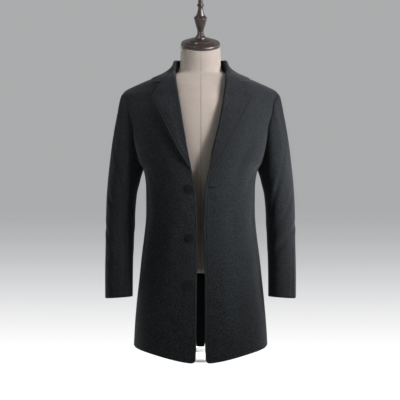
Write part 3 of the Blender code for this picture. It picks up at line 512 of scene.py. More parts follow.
def round_corner(points, u, v, corner_u, corner_v, size_u, size_v):
    """Rounds one corner of a grid by drawing its square corner in to a quarter circle."""
    rows, columns = points.shape[:2]
    gu, gv = np.meshgrid(u, v)
    a = np.clip(1 - abs(gu - corner_u) / size_u, 0, 1)
    b = np.clip(1 - abs(gv - corner_v) / size_v, 0, 1)
    far = np.maximum(np.hypot(a, b), 1e-9)
    shrink = np.maximum(a, b) / far
    inward_u, inward_v = (1 if corner_u == 0 else -1), (1 if corner_v == 0 else -1)
    inside = (a > 0) & (b > 0)
    new_u = np.where(inside, corner_u + inward_u * size_u * (1 - a * shrink), gu)
    new_v = np.where(inside, corner_v + inward_v * size_v * (1 - b * shrink), gv)
    column = np.clip(np.searchsorted(u, new_u, side="right") - 1, 0, columns - 2)
    row = np.clip(np.searchsorted(v, new_v, side="right") - 1, 0, rows - 2)
    s = ((new_u - u[column]) / (u[column + 1] - u[column]))[..., None]
    t = ((new_v - v[row]) / (v[row + 1] - v[row]))[..., None]
    low = points[row, column] * (1 - s) + points[row, column + 1] * s
    high = points[row + 1, column] * (1 - s) + points[row + 1, column + 1] * s
    return low * (1 - t) + high * t


def seam_distances(grid, round_by):
    """How far the points of a grid lie from its sewn edges, which are the ones rounded by SEWN_ROUNDING."""
    distance = np.ones(grid.shape[:2])
    for edge, amount in enumerate(round_by):
        if amount == SEWN_ROUNDING:
            distance = np.minimum(distance, run_along(grid, edge // 2, edge % 2 == 1))
    return distance


def quads_between(low, high):
    """Faces between rows of points and the rows next to them."""
    return np.stack([low[..., :-1], low[..., 1:], high[..., 1:], high[..., :-1]], axis=-1).reshape(-1, 4)


def ring_index(rings, sides, first=0):
    """The numbers of the points of rings that follow each other, each ring's first point at its end again."""
    index = first + np.arange(rings * sides).reshape(rings, sides)
    return np.concatenate([index, index[:, :1]], axis=1)


def tube_faces(rings, sides, first=0):
    """Faces of a tube whose rings of points follow each other, and its two ends."""
    index = ring_index(rings, sides, first)
    ends = [index[0, -2::-1].tolist(), index[-1, :-1].tolist()]
    return quads_between(index[:-1], index[1:]).tolist() + ends


def added(name, data):
    made = bpy.data.objects.new(name, data)
    bpy.context.scene.collection.objects.link(made)
    return made


def add_layer(mesh, name, values):
    """A number for each of the mesh's points, which its look reads."""
    layer = mesh.attributes.new(name, "FLOAT", "POINT")
    layer.data.foreach_set("value", np.concatenate(values).astype(np.float32))


def shell(name, outer, inner, looks, side, round_by, lined=None, edge_distance=None, under=1.0):
    """A closed shell of cloth between two grids.

    round_by softens its bottom, top, left and right edges. lined says which of its inner faces have the
    second look. Its inner points count as lying at least as far as under from the stitched edge, so that
    no stitch groove, painted rim shade or painted highlight is drawn there unless under is 0.
    """
    seams = seam_distances(outer, round_by)
    outer, inner = outer.copy(), inner.copy()
    for edge, amount in enumerate(round_by):
        for i, weight in enumerate(ROUND_WEIGHTS):
            line = -1 - i if edge % 2 else i
            at = (slice(None), line) if edge // 2 else (line, slice(None))
            gap = inner[at] - outer[at]
            outer[at] += gap * weight * amount
            inner[at] -= gap * weight * amount
    rows, columns = outer.shape[:2]
    points = np.concatenate([outer.reshape(-1, 3), inner.reshape(-1, 3)])
    index = np.arange(rows * columns).reshape(rows, columns)
    quads = quads_between(index[:-1], index[1:])
    inside = quads[:, ::-1] + rows * columns
    rim = np.concatenate([index[0, :-1], index[:-1, -1], index[-1, :0:-1], index[:0:-1, 0]])
    after = np.roll(rim, -1)
    edge = np.stack([rim, rim + rows * columns, after + rows * columns, after], axis=-1)
    faces = np.concatenate([quads, inside, edge])
    if side == "right":
        points = points * (-1, 1, 1)
        faces = faces[:, ::-1]
    mesh = bpy.data.meshes.new(name)
    mesh.from_pydata(points.tolist(), [], faces.tolist())
    for look in looks:
        mesh.materials.append(look)
    if lined is not None:
        flags = np.zeros(len(faces), np.int32)
        flags[len(quads) : 2 * len(quads)] = lined[:-1, :-1].reshape(-1)
        mesh.polygons.foreach_set("material_index", flags)
    far = np.full(rows * columns, 1.0) if edge_distance is None else edge_distance.reshape(-1)
    plain = np.full(rows * columns, 1.0)
    add_layer(mesh, "edge_distance", (far, np.maximum(far, under)))
    add_layer(mesh, "seam_distance", (seams.reshape(-1), plain))
    mesh.update()
    mesh.shade_smooth()
    return added(name, mesh)


LEAST_LEAN = 0.55  # so that the wall stays about as thick where the sleeve leaves the body sharply


def armhole_mitre(turn):
    """The armhole's points, the wall's way in there, shared by body and sleeve, and the gap between them."""
    points = armhole(turn)
    place = on_body(points)
    body_out = body_normal(place[:, 0], place[:, 1])
    tangent = unit(armhole(turn + 0.01) - armhole(turn - 0.01))
    sleeve_way = unit(sleeve_ring(1, turn) - points)
    sleeve_out = unit(np.cross(tangent, sleeve_way))
    inward = -unit(body_out + sleeve_out)
    lean = np.clip(-(inward * body_out).sum(axis=1, keepdims=True), LEAST_LEAN, 1)
    across = unit(np.cross(tangent, inward))
    across = across * np.sign((across * sleeve_way).sum(axis=1, keepdims=True))
    return points, inward * CLOTH / lean, across * SEWN


def hem(angle):
    return HEM_CENTRE + (HEM_SIDE - HEM_CENTRE) * np.sin(math.pi / 2 * np.sin(angle) ** 2)


def fold_radius():
    return CLOTH / 2 + REST + FOLD_CLOTH


def row_way(x, height):
    step = 0.001
    return unit(body(front_angle(x + step, height), height) - body(front_angle(x, height), height))


def opened(height):
    """From 0 where a lapel's fold starts at the front edge to 1 where it is fully rolled."""
    share = np.clip((height - LAPEL_FOOT) / ROLL_LENGTH, 0, 1)
    return share * share * (3 - 2 * share)


def fold_reach(height):
    return ROLL_START + (1 - ROLL_START) * opened(height)


def inset_edge(height, side):
    edge = smooth(FRONT_EDGE, side, height)
    hidden = np.clip((height - LAPEL_FOOT + FOLD_RUN_IN) / FOLD_RUN_IN, 0, 1) * fold_reach(height)
    return edge + hidden * fold_radius() * row_way(edge, height)[..., 0]


def fold_heights(share):
    return LAPEL_FOOT + (GORGE - LAPEL_FOOT) * (1 - (1 - np.clip(share, 0, 1)) ** ROW_CROWDING)


def skirt(start, end):
    """Angles and heights from the hem up to the underarm, between angles that depend on the height."""
    share, rise = ACROSS[None], RISE[:, None]
    height = np.repeat(HEM_SIDE + (UNDERARM - HEM_SIDE) * rise, len(ACROSS), axis=1)
    for _ in range(3):
        angle = start(height[:, :1]) * (1 - share) + end(height[:, :1]) * share
        low = hem(angle[:1])
        height = low + (UNDERARM - low) * rise
    return np.stack([angle, height], axis=-1)


SKIRT_LENGTH = 0.545
YOKE_LENGTH = 0.30
PANEL_WIDTH = 0.25
PANEL_STEP = 0.0055
NECK_SHARE = 0.2  # the front's neckline as a share of its lapel's fold, in rows
HEM_DEPTH = 0.040  # of the wool that is turned up inside the hem
FACING_WIDTH = 0.075  # of the wool that faces the fronts inside
RISE = shares(SKIRT_LENGTH, PANEL_STEP)[:-3]
RISE = np.append(RISE[RISE < 0.994], (0.9955, 1.0))
YOKE = np.unique(np.concatenate([np.linspace(0, 1, 97), [0.991, 0.995, 0.998]]))
ACROSS = shares(PANEL_WIDTH, PANEL_STEP)


def panel(name, grid, armhole_column, turns, side, looks, front_edge=False):
    """A front or back from a grid of angles and heights. It returns the shell and its outer points."""
    angle, height = grid[..., 0], grid[..., 1]
    normal = body_normal(angle, height)
    outer = body(angle, height) - normal * fold_depth(BODY_FOLDS, side, angle * BODY_REACH, height)[..., None]
    inner = outer - CLOTH * normal
    points, inward, across = armhole_mitre(turns)
    outer[-len(YOKE) :, armhole_column] = points - across
    inner[-len(YOKE) :, armhole_column] = points - across + inward
    lined = np.ones(angle.shape, np.int32)
    lined[height < hem(angle) + HEM_DEPTH] = 0
    distance = None
    sewn = SEWN_ROUNDING
    rounding = (1.0, sewn, sewn, sewn)
    if front_edge:
        rows = np.concatenate([RISE[:-1] * SKIRT_LENGTH, SKIRT_LENGTH + YOKE * YOKE_LENGTH])
        columns = ACROSS * PANEL_WIDTH
        outer = round_corner(outer, columns, rows, 0, 0, HEM_CORNER, HEM_CORNER)
        inner = round_corner(inner, columns, rows, 0, 0, HEM_CORNER, HEM_CORNER)
        lined[:, columns < FACING_WIDTH] = 0
        distance = np.repeat(columns[None], len(rows), axis=0)
        distance[rows > SKIRT_LENGTH] = 1.0
        rounding = (1.0, sewn, 1.0, sewn)
    return shell(name, outer, inner, looks, side, rounding, lined, distance), outer


def panel_grid(lower, ridge, ridge_heights, left, right):
    """Angles and heights of a panel: its skirt, and above it what lies between its edges and the ridge."""
    start, end = ridge_heights
    top = np.stack([np.full(len(ACROSS), ridge), start + (end - start) * ACROSS], axis=1)
    return np.concatenate([lower[:-1], fill(lower[-1], top, left, right, ACROSS, YOKE)])


def side_seam():
    return on_body(armhole(np.array([math.pi])))[0, 0]


def front(side, looks):
    seam = side_seam() - SEWN / 2 / SIDE_REACH
    ridge = math.pi / 2 - SEWN / 2 / RIDGE_REACH
    lower = skirt(lambda z: front_angle(inset_edge(z, side), z), lambda z: seam + 0 * z)
    rise = YOKE * (1 + NECK_SHARE)
    heights = fold_heights(rise)
    left = np.stack([front_angle(inset_edge(heights, side), heights), heights], axis=1)
    share = np.linspace(0, 1, 12)[:, None]
    neck = left[-1] + share * (np.array([ridge, NECK_POINT]) - left[-1])
    neck[:, :1] += NECK_BOW * np.sin(math.pi * share)
    left[rise > 1] = along_curve(neck, (rise[rise > 1] - 1) / NECK_SHARE)
    turns = math.pi * (1 - YOKE)
    right = on_body(armhole(turns))
    right[0, 0], right[-1, 0] = seam, ridge
    grid = panel_grid(lower, ridge, (NECK_POINT, SHOULDER_TIP), left, right)
    return panel(f"coat_front_{side}", grid, -1, turns, side, looks, front_edge=True)


def back(side, looks):
    seam = side_seam() + SEWN / 2 / SIDE_REACH
    centre = math.pi - SEWN / 2 / RIDGE_REACH
    ridge = math.pi / 2 + SEWN / 2 / RIDGE_REACH
    lower = skirt(lambda z: seam + 0 * z, lambda z: centre + 0 * z)
    turns = math.pi * (1 + YOKE)
    left = on_body(armhole(turns))
    left[0, 0], left[-1, 0] = seam, ridge
    rise = np.stack([np.full(20, centre), np.linspace(UNDERARM, BACK_NECK, 20)], axis=1)
    share = np.linspace(0, 1, 20)[1:]
    neckline = [centre + (ridge - centre) * share, BACK_NECK + (NECK_POINT - BACK_NECK) * share**2]
    right = along_curve(np.concatenate([rise, np.stack(neckline, axis=1)]), YOKE)
    grid = panel_grid(lower, ridge, (SHOULDER_TIP, NECK_POINT), left, right)
    return panel(f"coat_back_{side}", grid, 0, turns, side, looks)


def sample(rings, at):
    """Rings on a smooth curve through the given ones, at these places along them."""
    padded = np.array([2 * rings[0] - rings[1], *rings, 2 * rings[-1] - rings[-2]])
    row = np.clip(np.floor(at).astype(int), 0, len(rings) - 2)
    t = (at - row)[:, None, None]
    return spline(padded[row], padded[row + 1], padded[row + 2], padded[row + 3], t)


def sleeve_rings(turns, at):
    seam, _, across = armhole_mitre(turns)
    rings = [seam + across] + [sleeve_ring(row, turns) for row in range(1, len(SLEEVE))]
    return sample(np.array(rings), at)


SLEEVE_STEP = 0.0050  # between rows, and a little less round the sleeve
SLEEVE_STEP_ROUND = 0.0045
SLEEVE_REACH = 0.05  # turns the gap at its seams into an angle
FOLDS_FADE_IN = 0.05  # below the armhole


def sleeve(name, first, last, side, looks):
    margin = SEWN / SLEEVE_REACH
    across = shares((last - first) * SLEEVE_RADIUS, SLEEVE_STEP_ROUND)
    turns = first + margin + (last - first - 2 * margin) * across
    at = (len(SLEEVE) - 1) * shares(SLEEVE_LENGTH, SLEEVE_STEP, SLEEVE_EDGE_STEPS)
    step = 0.03
    outer = sleeve_rings(turns, at)
    tangent = sleeve_rings(turns + step, at) - sleeve_rings(turns - step, at)
    normal = unit(np.cross(tangent, np.gradient(outer, axis=0)))
    whole = sleeve_rings(np.linspace(0, math.tau, 24, endpoint=False), at).mean(axis=1)
    down = run_along(whole)[:, None]
    way = np.mod(turns, math.tau)[None] * SLEEVE_RADIUS
    fade = np.clip(down / FOLDS_FADE_IN, 0, 1) ** 2
    outer = outer - normal * (fade * fold_depth(SLEEVE_FOLDS, side, way, down))[..., None]
    inner = outer - CLOTH * normal
    inner[0] = outer[0] + armhole_mitre(turns)[1]
    lined = np.ones(outer.shape[:2], np.int32)
    lined[(down > down[-1] - HEM_DEPTH)[:, 0]] = 0
    sewn = SEWN_ROUNDING
    return shell(name, outer, inner, looks, side, (sewn, 1.0, sewn, sewn), lined)


LAPEL_LENGTH = 0.29
LAPEL_STEP = 0.005
LEAF = np.unique(np.concatenate([np.linspace(0, 1, 49), [GORGE_SHARE], 1 - np.array([0.006, 0.014, 0.026])]))
LAPEL_UP = shares(LAPEL_LENGTH, LAPEL_STEP)
NOSE_TURNS = np.linspace(0, math.pi, 17)[1:]
LEG_SHARES = np.linspace(0, 1, 8)[:-1, None]


def gorge_points(side, corner):
    """Heights and x along the seam between lapel and collar, then on to a free corner."""
    start = np.array([GORGE, inset_edge(np.array([GORGE]), side)[0]])
    notch, corner = np.array(NOTCH), np.array(corner)
    share = LEAF[:, None]
    to_notch = start + (notch - start) * share / GORGE_SHARE
    to_corner = notch + (corner - notch) * (share - GORGE_SHARE) / (1 - GORGE_SHARE)
    return np.where(share <= GORGE_SHARE, to_notch, to_corner)


def fold_round(base, way, out, radius, reach=1.0):
    centre = base - out * (CLOTH / 2)
    turns = NOSE_TURNS[:, None]
    return centre - way * radius * reach * np.sin(turns) + out * radius * np.cos(turns)


def with_leg(round_points, way, length):
    """A fold's points from its leg's end inside, round the fold, outward."""
    end = round_points[-1]
    leg = end + way * length * (1 - LEG_SHARES)
    return np.concatenate([leg, round_points[::-1]])


def off_cloth(face):
    """How far the inner (0) or outer (1) face of a folded leaf lies from the cloth under it."""
    return REST + FOLD_CLOTH * face


def lapel_grid(side, face):
    heights = fold_heights(LAPEL_UP)
    rise = (heights - LAPEL_FOOT) / (GORGE - LAPEL_FOOT)
    lift = off_cloth(face) * (FOOT_LIFT + (1 - FOOT_LIFT) * opened(heights))
    radius = CLOTH / 2 + lift
    start = np.array([LAPEL_FOOT, inset_edge(np.array([LAPEL_FOOT]), side)[0]])
    fold = np.stack([heights, inset_edge(heights, side)], axis=1)
    edge_heights = LAPEL_EDGE[0].height + (LAPEL_EDGE[-1].height - LAPEL_EDGE[0].height) * rise
    reach = smooth(LAPEL_EDGE, "x", edge_heights)
    if side == "left":
        reach = reach + smooth(LEFT_SWELL, "x", edge_heights)
    edge = np.stack([edge_heights, reach], axis=1)
    top = gorge_points(side, LAPEL_EDGE[-1])
    top[LEAF <= GORGE_SHARE] -= (GAP, 0)
    bottom = start + (edge[0] - start) * LEAF[:, None]
    fold[-1], edge[-1] = top[0], top[-1]
    leaf = fill(bottom, top, fold, edge, LEAF, LAPEL_UP)
    height, x = leaf[..., 0], leaf[..., 1]
    angle = front_angle(x, height)
    out = body_normal(angle, height)
    share, rows = LEAF[None, :, None], rise[:, None, None]
    stand_off = LIFT[side] * share**2 * np.sin(math.pi * rows**0.8) + LAPEL_SETTLE * rows**4 * share**0.5
    points = body(angle, height) + out * (lift[:, None, None] + stand_off)
    folded = []
    for row in range(len(rise)):
        base = body(angle[row, 0], height[row, 0])
        way = unit(body(angle[row, 2], height[row, 2]) - base)
        turned_in = fold_round(base, way, out[row, 0], radius[row], fold_reach(heights[row]))
        folded.append(np.concatenate([with_leg(turned_in, way, COLLAR_LEG), points[row]]))
    return np.array(folded)


def leaf_distances(grid, ends):
    """How far a leaf's points lie from its free edge and from its free ends (0 or -1), and 1 in its fold."""
    start = grid.shape[1] - len(LEAF)
    distance = np.ones(grid.shape[:2])
    distance[:, start:] = run_along(grid[:, start:], 1, True)
    free = start + np.flatnonzero(LEAF > GORGE_SHARE)
    for end in ends:
        distance[:, free] = np.minimum(distance[:, free], run_along(grid[:, free], 0, end == -1))
    return distance


def lapel(side, looks):
    outer, inner = lapel_grid(side, 1), lapel_grid(side, 0)
    distance = leaf_distances(outer, (-1,))
    columns = np.concatenate([np.linspace(-0.1, 0, outer.shape[1] - len(LEAF), endpoint=False), LEAF])
    corner = (columns, LAPEL_UP, 1.0, 1.0, *LAPEL_CORNER)
    outer, inner = round_corner(outer, *corner), round_corner(inner, *corner)
    rounding = (1.0, SEWN_ROUNDING, 0.5, 1.0)
    return shell(f"coat_lapel_{side}", outer, inner, looks, side, rounding, None, distance, 0.0), outer


def collar_end(side, face):
    lift = off_cloth(face)
    line = gorge_points(side, COLLAR_CORNER)
    line[LEAF <= GORGE_SHARE] += (GAP, 0)
    angle = front_angle(line[:, 1], line[:, 0])
    out = body_normal(angle, line[:, 0])
    points = body(angle, line[:, 0])
    way = unit(points[2] - points[0])
    turned_in = fold_round(points[0], way, out[0], CLOTH / 2 + lift)
    free = np.clip((LEAF - GORGE_SHARE + COLLAR_END_RUN) / (1 + COLLAR_END_RUN - GORGE_SHARE), 0, 1)[:, None]
    lifted = lift * pressed_leaf() + COLLAR_END_LIFT * np.sin(math.pi * free)
    return np.concatenate([with_leg(turned_in, way, COLLAR_LEG), points + out * lifted])


def pressed_leaf():
    """The share of its stand-off that the collar's fall keeps towards its edge, which is ironed flat."""
    return 1 - PRESSED * LEAF[:, None] ** 6


def collar_section(station, face):
    top = np.array([station.x, station.y, station.height])
    edge_angle = math.radians(station.edge_angle)
    edge = body(edge_angle, station.edge_height)
    edge = edge + body_normal(edge_angle, station.edge_height) * off_cloth(face) * pressed_leaf()[-1]
    outward = edge - top
    outward[2] = 0
    outward = unit(outward)
    up = np.array([0.0, 0.0, 1.0])

    def way(degrees):
        return outward * math.cos(math.radians(degrees)) + up * math.sin(math.radians(degrees))

    inner_radius = CLOTH / 2 + REST
    centre = top - way(station.fold) * (inner_radius + FOLD_CLOTH)
    radius = inner_radius + FOLD_CLOTH * face
    nose = np.array([centre + radius * way(station.fold - 90 + math.degrees(turn)) for turn in NOSE_TURNS])
    first = centre + radius * way(station.fold - 90)
    foot = centre + station.stand_length * way(station.stand_angle) + radius * way(station.stand_angle - 90)
    leg = foot + (nose[-1] - foot) * LEG_SHARES
    pull = first - way(station.fold) * station.fall_pull
    t = LEAF[:, None]
    fall = first * (1 - t) ** 2 + 2 * pull * t * (1 - t) + edge * t**2
    return np.concatenate([leg, nose[::-1], fall])


def collar(looks):
    faces = []
    last = 2 * len(COLLAR)
    steps = np.linspace(0, 1, COLLAR_STEPS + 1)[:-1]
    at = (np.arange(last)[:, None] + steps).reshape(-1)
    at = np.unique(np.concatenate([at, [0.02, 0.05, last - 0.05, last - 0.02, last]]))
    for face in (1, 0):
        half = [collar_section(station, face) for station in COLLAR]
        left = [collar_end("left", face), *half]
        right = [points * (-1, 1, 1) for points in [collar_end("right", face), *half[:-1]]]
        grid = sample(np.array([*left, *right[::-1]]), at)
        start = grid.shape[1] - len(LEAF)
        grid[:, start:] = clear_of_body(grid[:, start:], off_cloth(face) * pressed_leaf())
        faces.append(grid)
    distance = leaf_distances(faces[0], (0, -1))
    under = np.ones(distance.shape, np.int32)
    made = shell("coat_collar", *faces, looks, "left", (0.8, 0.8, 0.5, 1.0), under, distance, 0.0)
    return made, faces[0]


def stitch_line(grid, rows, side, leaf):
    """Places and normals of a row of stitches, inside a front's edge or a leaf's free edge."""
    normals = grid_normals(grid)
    start = grid.shape[1] - len(LEAF) if leaf else 0
    distance = run_along(grid[:, start:], 1, leaf)
    places, outs = [], []
    for row in rows:
        order = np.argsort(distance[row])
        near = distance[row, order]
        if near[0] <= STITCH_INSET <= near[-1]:
            for found, values in ((places, grid), (outs, normals)):
                found.append([np.interp(STITCH_INSET, near, values[row, start:, k][order]) for k in range(3)])
    return np.array(places) * MIRROR[side], unit(np.array(outs)) * MIRROR[side]


STITCH_LENGTH = 0.0030
STITCH_PITCH = 0.0042
THREAD = 0.00028
STITCH_SIDES = 6
# A stitch's rings: how far along it, in lengths, how wide, in threads, and how far it is sunk or raised.
STITCH = ((-0.5, 0.35, -0.00030), (-0.3, 1.0, 0.0), (0.3, 1.0, 0.0), (0.5, 0.35, -0.00030))


def stitches(name, places, outs):
    """Short threads laid end to end along a line of places and normals, all in one piece."""
    run = run_along(places)
    points, faces = [], []
    for middle in np.arange(STITCH_PITCH, run[-1] - STITCH_PITCH / 2, STITCH_PITCH):
        ends = [np.array([np.interp(middle + s, run, places[:, k]) for k in range(3)]) for s in (-1e-3, 1e-3)]
        out = unit(np.array([np.interp(middle, run, outs[:, k]) for k in range(3)]))
        way = unit(ends[1] - ends[0])
        across = np.cross(way, out)
        centre = (ends[0] + ends[1]) / 2 + out * THREAD * 0.3
        faces += tube_faces(len(STITCH), STITCH_SIDES, len(points))
        for share, width, lift in STITCH:
            for turn in (math.tau * i / STITCH_SIDES for i in range(STITCH_SIDES)):
                around = across * math.cos(turn) + out * math.sin(turn)
                points.append(centre + way * share * STITCH_LENGTH + around * THREAD * width + out * lift)
    return piece(solid(name, points, faces, THREAD_LOOK), "wool")


def solid(name, points, faces, look):
    mesh = bpy.data.meshes.new(name)
    mesh.from_pydata([tuple(point) for point in points], [], faces)
    mesh.materials.append(look)
    mesh.update()
    mesh.shade_smooth()
    return added(name, mesh)


def skin(name, rings, low, high, look):
    """A closed piece from rings of points, with a point in the middle of its lowest and highest one."""
    index = ring_index(*rings.shape[:2])
    bottom, top = index[0].tolist(), index[-1].tolist()
    faces = quads_between(index[:-1], index[1:]).tolist()
    last = rings.shape[0] * rings.shape[1]
    faces += [(end, start, last) for start, end in zip(bottom, bottom[1:])]
    faces += [(start, end, last + 1) for start, end in zip(top, top[1:])]
    made = solid(name, [*rings.reshape(-1, 3), low, high], faces, look)
    made.data.set_sharp_from_angle(angle=math.radians(SHARP_FROM))
    return made


SOFTENING = 0.6  # how far a turned profile leaves its straight lines for a smooth curve
SHARP_FROM = 45  # degrees


def turned(name, profile, look, steps=96, smooth_by=4):
    """A turned piece on +Z from a profile that starts and ends on its axis, with softened steps."""
    knots = np.array(profile, float)
    last = len(knots) - 1
    fine = [knots[0]]
    for i in range(1, len(knots)):
        a, b, c, d = knots[max(i - 2, 0)], knots[i - 1], knots[i], knots[min(i + 1, last)]
        for t in np.arange(1, smooth_by + 1) / smooth_by:
            straight = b + (c - b) * t
            softened = (1 - SOFTENING) * straight + SOFTENING * spline(a, b, c, d, t)
            fine.append(straight if i in (1, last) else softened)
    fine = np.array(fine)
    fine[:, 0] = np.clip(fine[:, 0], 0, None)
    fine[:, 1] = np.clip(fine[:, 1], fine[0, 1], knots[-1][1])
    fine[-1] = knots[-1]
    turns, height = np.meshgrid(np.linspace(0, math.tau, steps, endpoint=False), fine[1:-1, 1])
    radius = fine[1:-1, :1]
    rings = np.stack([radius * np.cos(turns), radius * np.sin(turns), height], axis=-1)
    return skin(name, rings, (0, 0, fine[0, 1]), (0, 0, fine[-1, 1]), look)


def rod(radius, low, high):
    """The profile of a plain rod."""
    return Turn(0, low), Turn(radius, low), Turn(radius, high), Turn(0, high)


class Look:
    """A material whose nodes are made by short calls, so that each one reads as what it is."""

    def __init__(self, name, **sockets):
        self.made = bpy.data.materials.new(name)
        self.made.use_nodes = True
        self.tree = self.made.node_tree
        self.shader = self.tree.nodes["Principled BSDF"]
        for key, value in sockets.items():
            socket = self.shader.inputs[key.replace("_", " ")]
            socket.default_value = (*value, 1) if isinstance(value, tuple) else value

    def node(self, kind, **values):
        made = self.tree.nodes.new(kind)
        for key, value in values.items():
            socket = key.replace("_", " ")
            if socket in made.inputs:
                made.inputs[socket].default_value = value
            else:
                setattr(made, key, value)
        return made

    def link(self, source, target):
        self.tree.links.new(source, target)

    def place(self, scale=(1, 1, 1), output="Object"):
        mapping = self.node("ShaderNodeMapping", Scale=scale)
        self.link(self.node("ShaderNodeTexCoord").outputs[output], mapping.inputs["Vector"])
        return mapping.outputs["Vector"]

    def attribute(self, name):
        return self.node("ShaderNodeAttribute", attribute_name=name).outputs["Fac"]

    def noise(self, vector, scale, detail=2.0, roughness=0.5, distortion=0.0):
        made = self.node("ShaderNodeTexNoise", Scale=scale, Detail=detail)
        made.inputs["Roughness"].default_value = roughness
        made.inputs["Distortion"].default_value = distortion
        self.link(vector, made.inputs["Vector"])
        return made.outputs["Fac"]

    def span(self, value, low, high, to_low=0.0, to_high=1.0):
        made = self.node("ShaderNodeMapRange", From_Min=low, From_Max=high, To_Min=to_low, To_Max=to_high)
        self.link(value, made.inputs["Value"])
        return made.outputs["Result"]

    def math(self, operation, first, second=None):
        made = self.node("ShaderNodeMath", operation=operation)
        for i, value in enumerate((first, second)):
            if value is None:
                continue
            if isinstance(value, (int, float)):
                made.inputs[i].default_value = value
            else:
                self.link(value, made.inputs[i])
        return made.outputs[0]

    def mix(self, factor, first, second):
        made = self.node("ShaderNodeMix", data_type="RGBA")
        for socket, value in ((made.inputs[6], first), (made.inputs[7], second)):
            if isinstance(value, tuple):
                socket.default_value = (*value, 1)
            else:
                self.link(value, socket)
        self.link(factor, made.inputs[0])
        return made.outputs[2]

    def pulse(self, value, centre, width):
        """1 where the value is at the centre, and 0 well away from it."""
        off = self.math("DIVIDE", self.math("SUBTRACT", value, centre), width)
        return self.math("EXPONENT", self.math("MULTIPLY", self.math("MULTIPLY", off, off), -1.0))

    def colour(self, value):
        self.link(value, self.shader.inputs["Base Color"])

    def bump(self, *layers):
        """Layers of (height, distance in metres), each on the one before."""
        normal = None
        for height, distance in layers:
            made = self.node("ShaderNodeBump", Strength=1.0, Distance=distance)
            self.link(height, made.inputs["Height"])
            if normal is not None:
                self.link(normal, made.inputs["Normal"])
            normal = made.outputs["Normal"]
        self.link(normal, self.shader.inputs["Normal"])


EDGE_AND_SEAM_PAINTED_SHADE = (0.0012, 0.0014, 0.0015)  # painted shade: the wool's colour on the finished edges of fronts, lapels and collar, and in the seams


def wool(name, dark, mid, light, rim_reach=(0.0008, 0.0024)):
    """Heathered wool from three shades, with painted shade on its finished rims, in its seams and along the
    groove of its stitches, and a painted highlight in a line by its edges.
    """
    look = Look(
        name,
        Roughness=0.92,
        Specular_IOR_Level=0.10,
        Sheen_Weight=0.10,
        Sheen_Roughness=0.45,
        Sheen_Tint=(0.70, 0.75, 0.82),
    )
    place = look.place()
    fibres = look.noise(place, 1500, 3.0, 0.62, 0.6)
    flecks = look.noise(look.place((1, 1, 0.45)), 2100, 1.5, 0.5, 1.2)
    heather = look.noise(place, 245, 3.0, 0.66, 0.3)
    clouds = look.noise(place, 30, 3.0, 0.55)
    ground = look.mix(look.span(heather, 0.42, 0.60), dark, mid)
    ground = look.mix(look.span(fibres, 0.56, 0.70, 0.0, 0.50), ground, light)
    ground = look.mix(look.span(flecks, 0.66, 0.74, 0.0, 0.60), ground, light)
    ground = look.mix(look.span(clouds, 0.30, 0.70, 0.0, 0.15), ground, dark)
    edge = look.attribute("edge_distance")
    stitch = look.pulse(edge, STITCH_INSET, 0.0011)
    painted_highlight = look.pulse(edge, 0.0030, 0.0014)
    rim = look.span(edge, *rim_reach, 1.0, 0.0)
    seam = look.span(look.attribute("seam_distance"), 0.0006, 0.0028, 0.8, 0.0)
    # Painted shade: darker along the groove of the stitches, which the bump below also sinks.
    ground = look.mix(look.math("MULTIPLY", stitch, 0.55), ground, dark)
    # Painted highlight: a lighter line about 3 mm in from the finished edges, where the rolled edge would
    # catch the light.
    ground = look.mix(look.math("MULTIPLY", painted_highlight, 0.22), ground, light)
    # Painted shade: the finished rims are darkened to stand in for the shadow gap under the edges of lapels
    # and collar.
    ground = look.mix(rim, ground, EDGE_AND_SEAM_PAINTED_SHADE)
    # Painted shade: darker in the valleys along the sewn edges.
    ground = look.mix(seam, ground, EDGE_AND_SEAM_PAINTED_SHADE)
    look.colour(ground)
    groove = look.math("SUBTRACT", 1.0, stitch)
    look.bump((heather, 0.0008), (fibres, 0.0005), (clouds, 0.0008), (groove, 0.0009))
    return look.made


def satin():
    look = Look("black_satin", Roughness=0.45, Specular_IOR_Level=0.12)
    place = look.place((1, 1, 0.15))
    threads = look.noise(place, 3800, 1.0)
    look.colour(look.mix(threads, (0.0010, 0.0010, 0.0012), (0.0030, 0.0030, 0.0034)))
    look.bump((threads, 0.00008))
    return look.made


def linen():
    look = Look("cream_linen", Roughness=0.86, Specular_IOR_Level=0.2, Sheen_Weight=0.15, Sheen_Roughness=0.5)
    yarns = {"Scale": 210.0, "Distortion": 1.2, "Detail": 2.0, "Detail_Scale": 1.5}
    warp = look.node("ShaderNodeTexWave", bands_direction="X", **yarns)
    weft = look.node("ShaderNodeTexWave", bands_direction="Y", **yarns)
    for wave in (warp, weft):
        look.link(look.place(output="UV"), wave.inputs["Vector"])
    slubs = look.noise(look.place((1, 0.12, 1), "UV"), 700, 2.0)
    slubs_across = look.noise(look.place((0.12, 1, 1), "UV"), 700, 2.0)
    clouds = look.noise(look.place(), 14, 3.0)
    weave = look.math("MULTIPLY", look.math("ADD", warp.outputs["Fac"], weft.outputs["Fac"]), 0.5)
    ground = look.mix(weave, (0.170, 0.150, 0.122), (0.232, 0.212, 0.180))
    ground = look.mix(look.span(slubs, 0.55, 0.75, 0.0, 0.35), ground, (0.27, 0.25, 0.22))
    ground = look.mix(look.span(slubs_across, 0.60, 0.78, 0.0, 0.35), ground, (0.157, 0.137, 0.110))
    ground = look.mix(look.span(clouds, 0.35, 0.7, 0.0, 0.18), ground, (0.167, 0.147, 0.117))
    seam = look.attribute("seam")
    ground = look.mix(look.math("MULTIPLY", seam, 0.5), ground, (0.095, 0.082, 0.062))
    look.colour(ground)
    look.bump((weave, 0.00025), (slubs, 0.0003), (look.math("SUBTRACT", 1.0, seam), 0.0009))
    return look.made


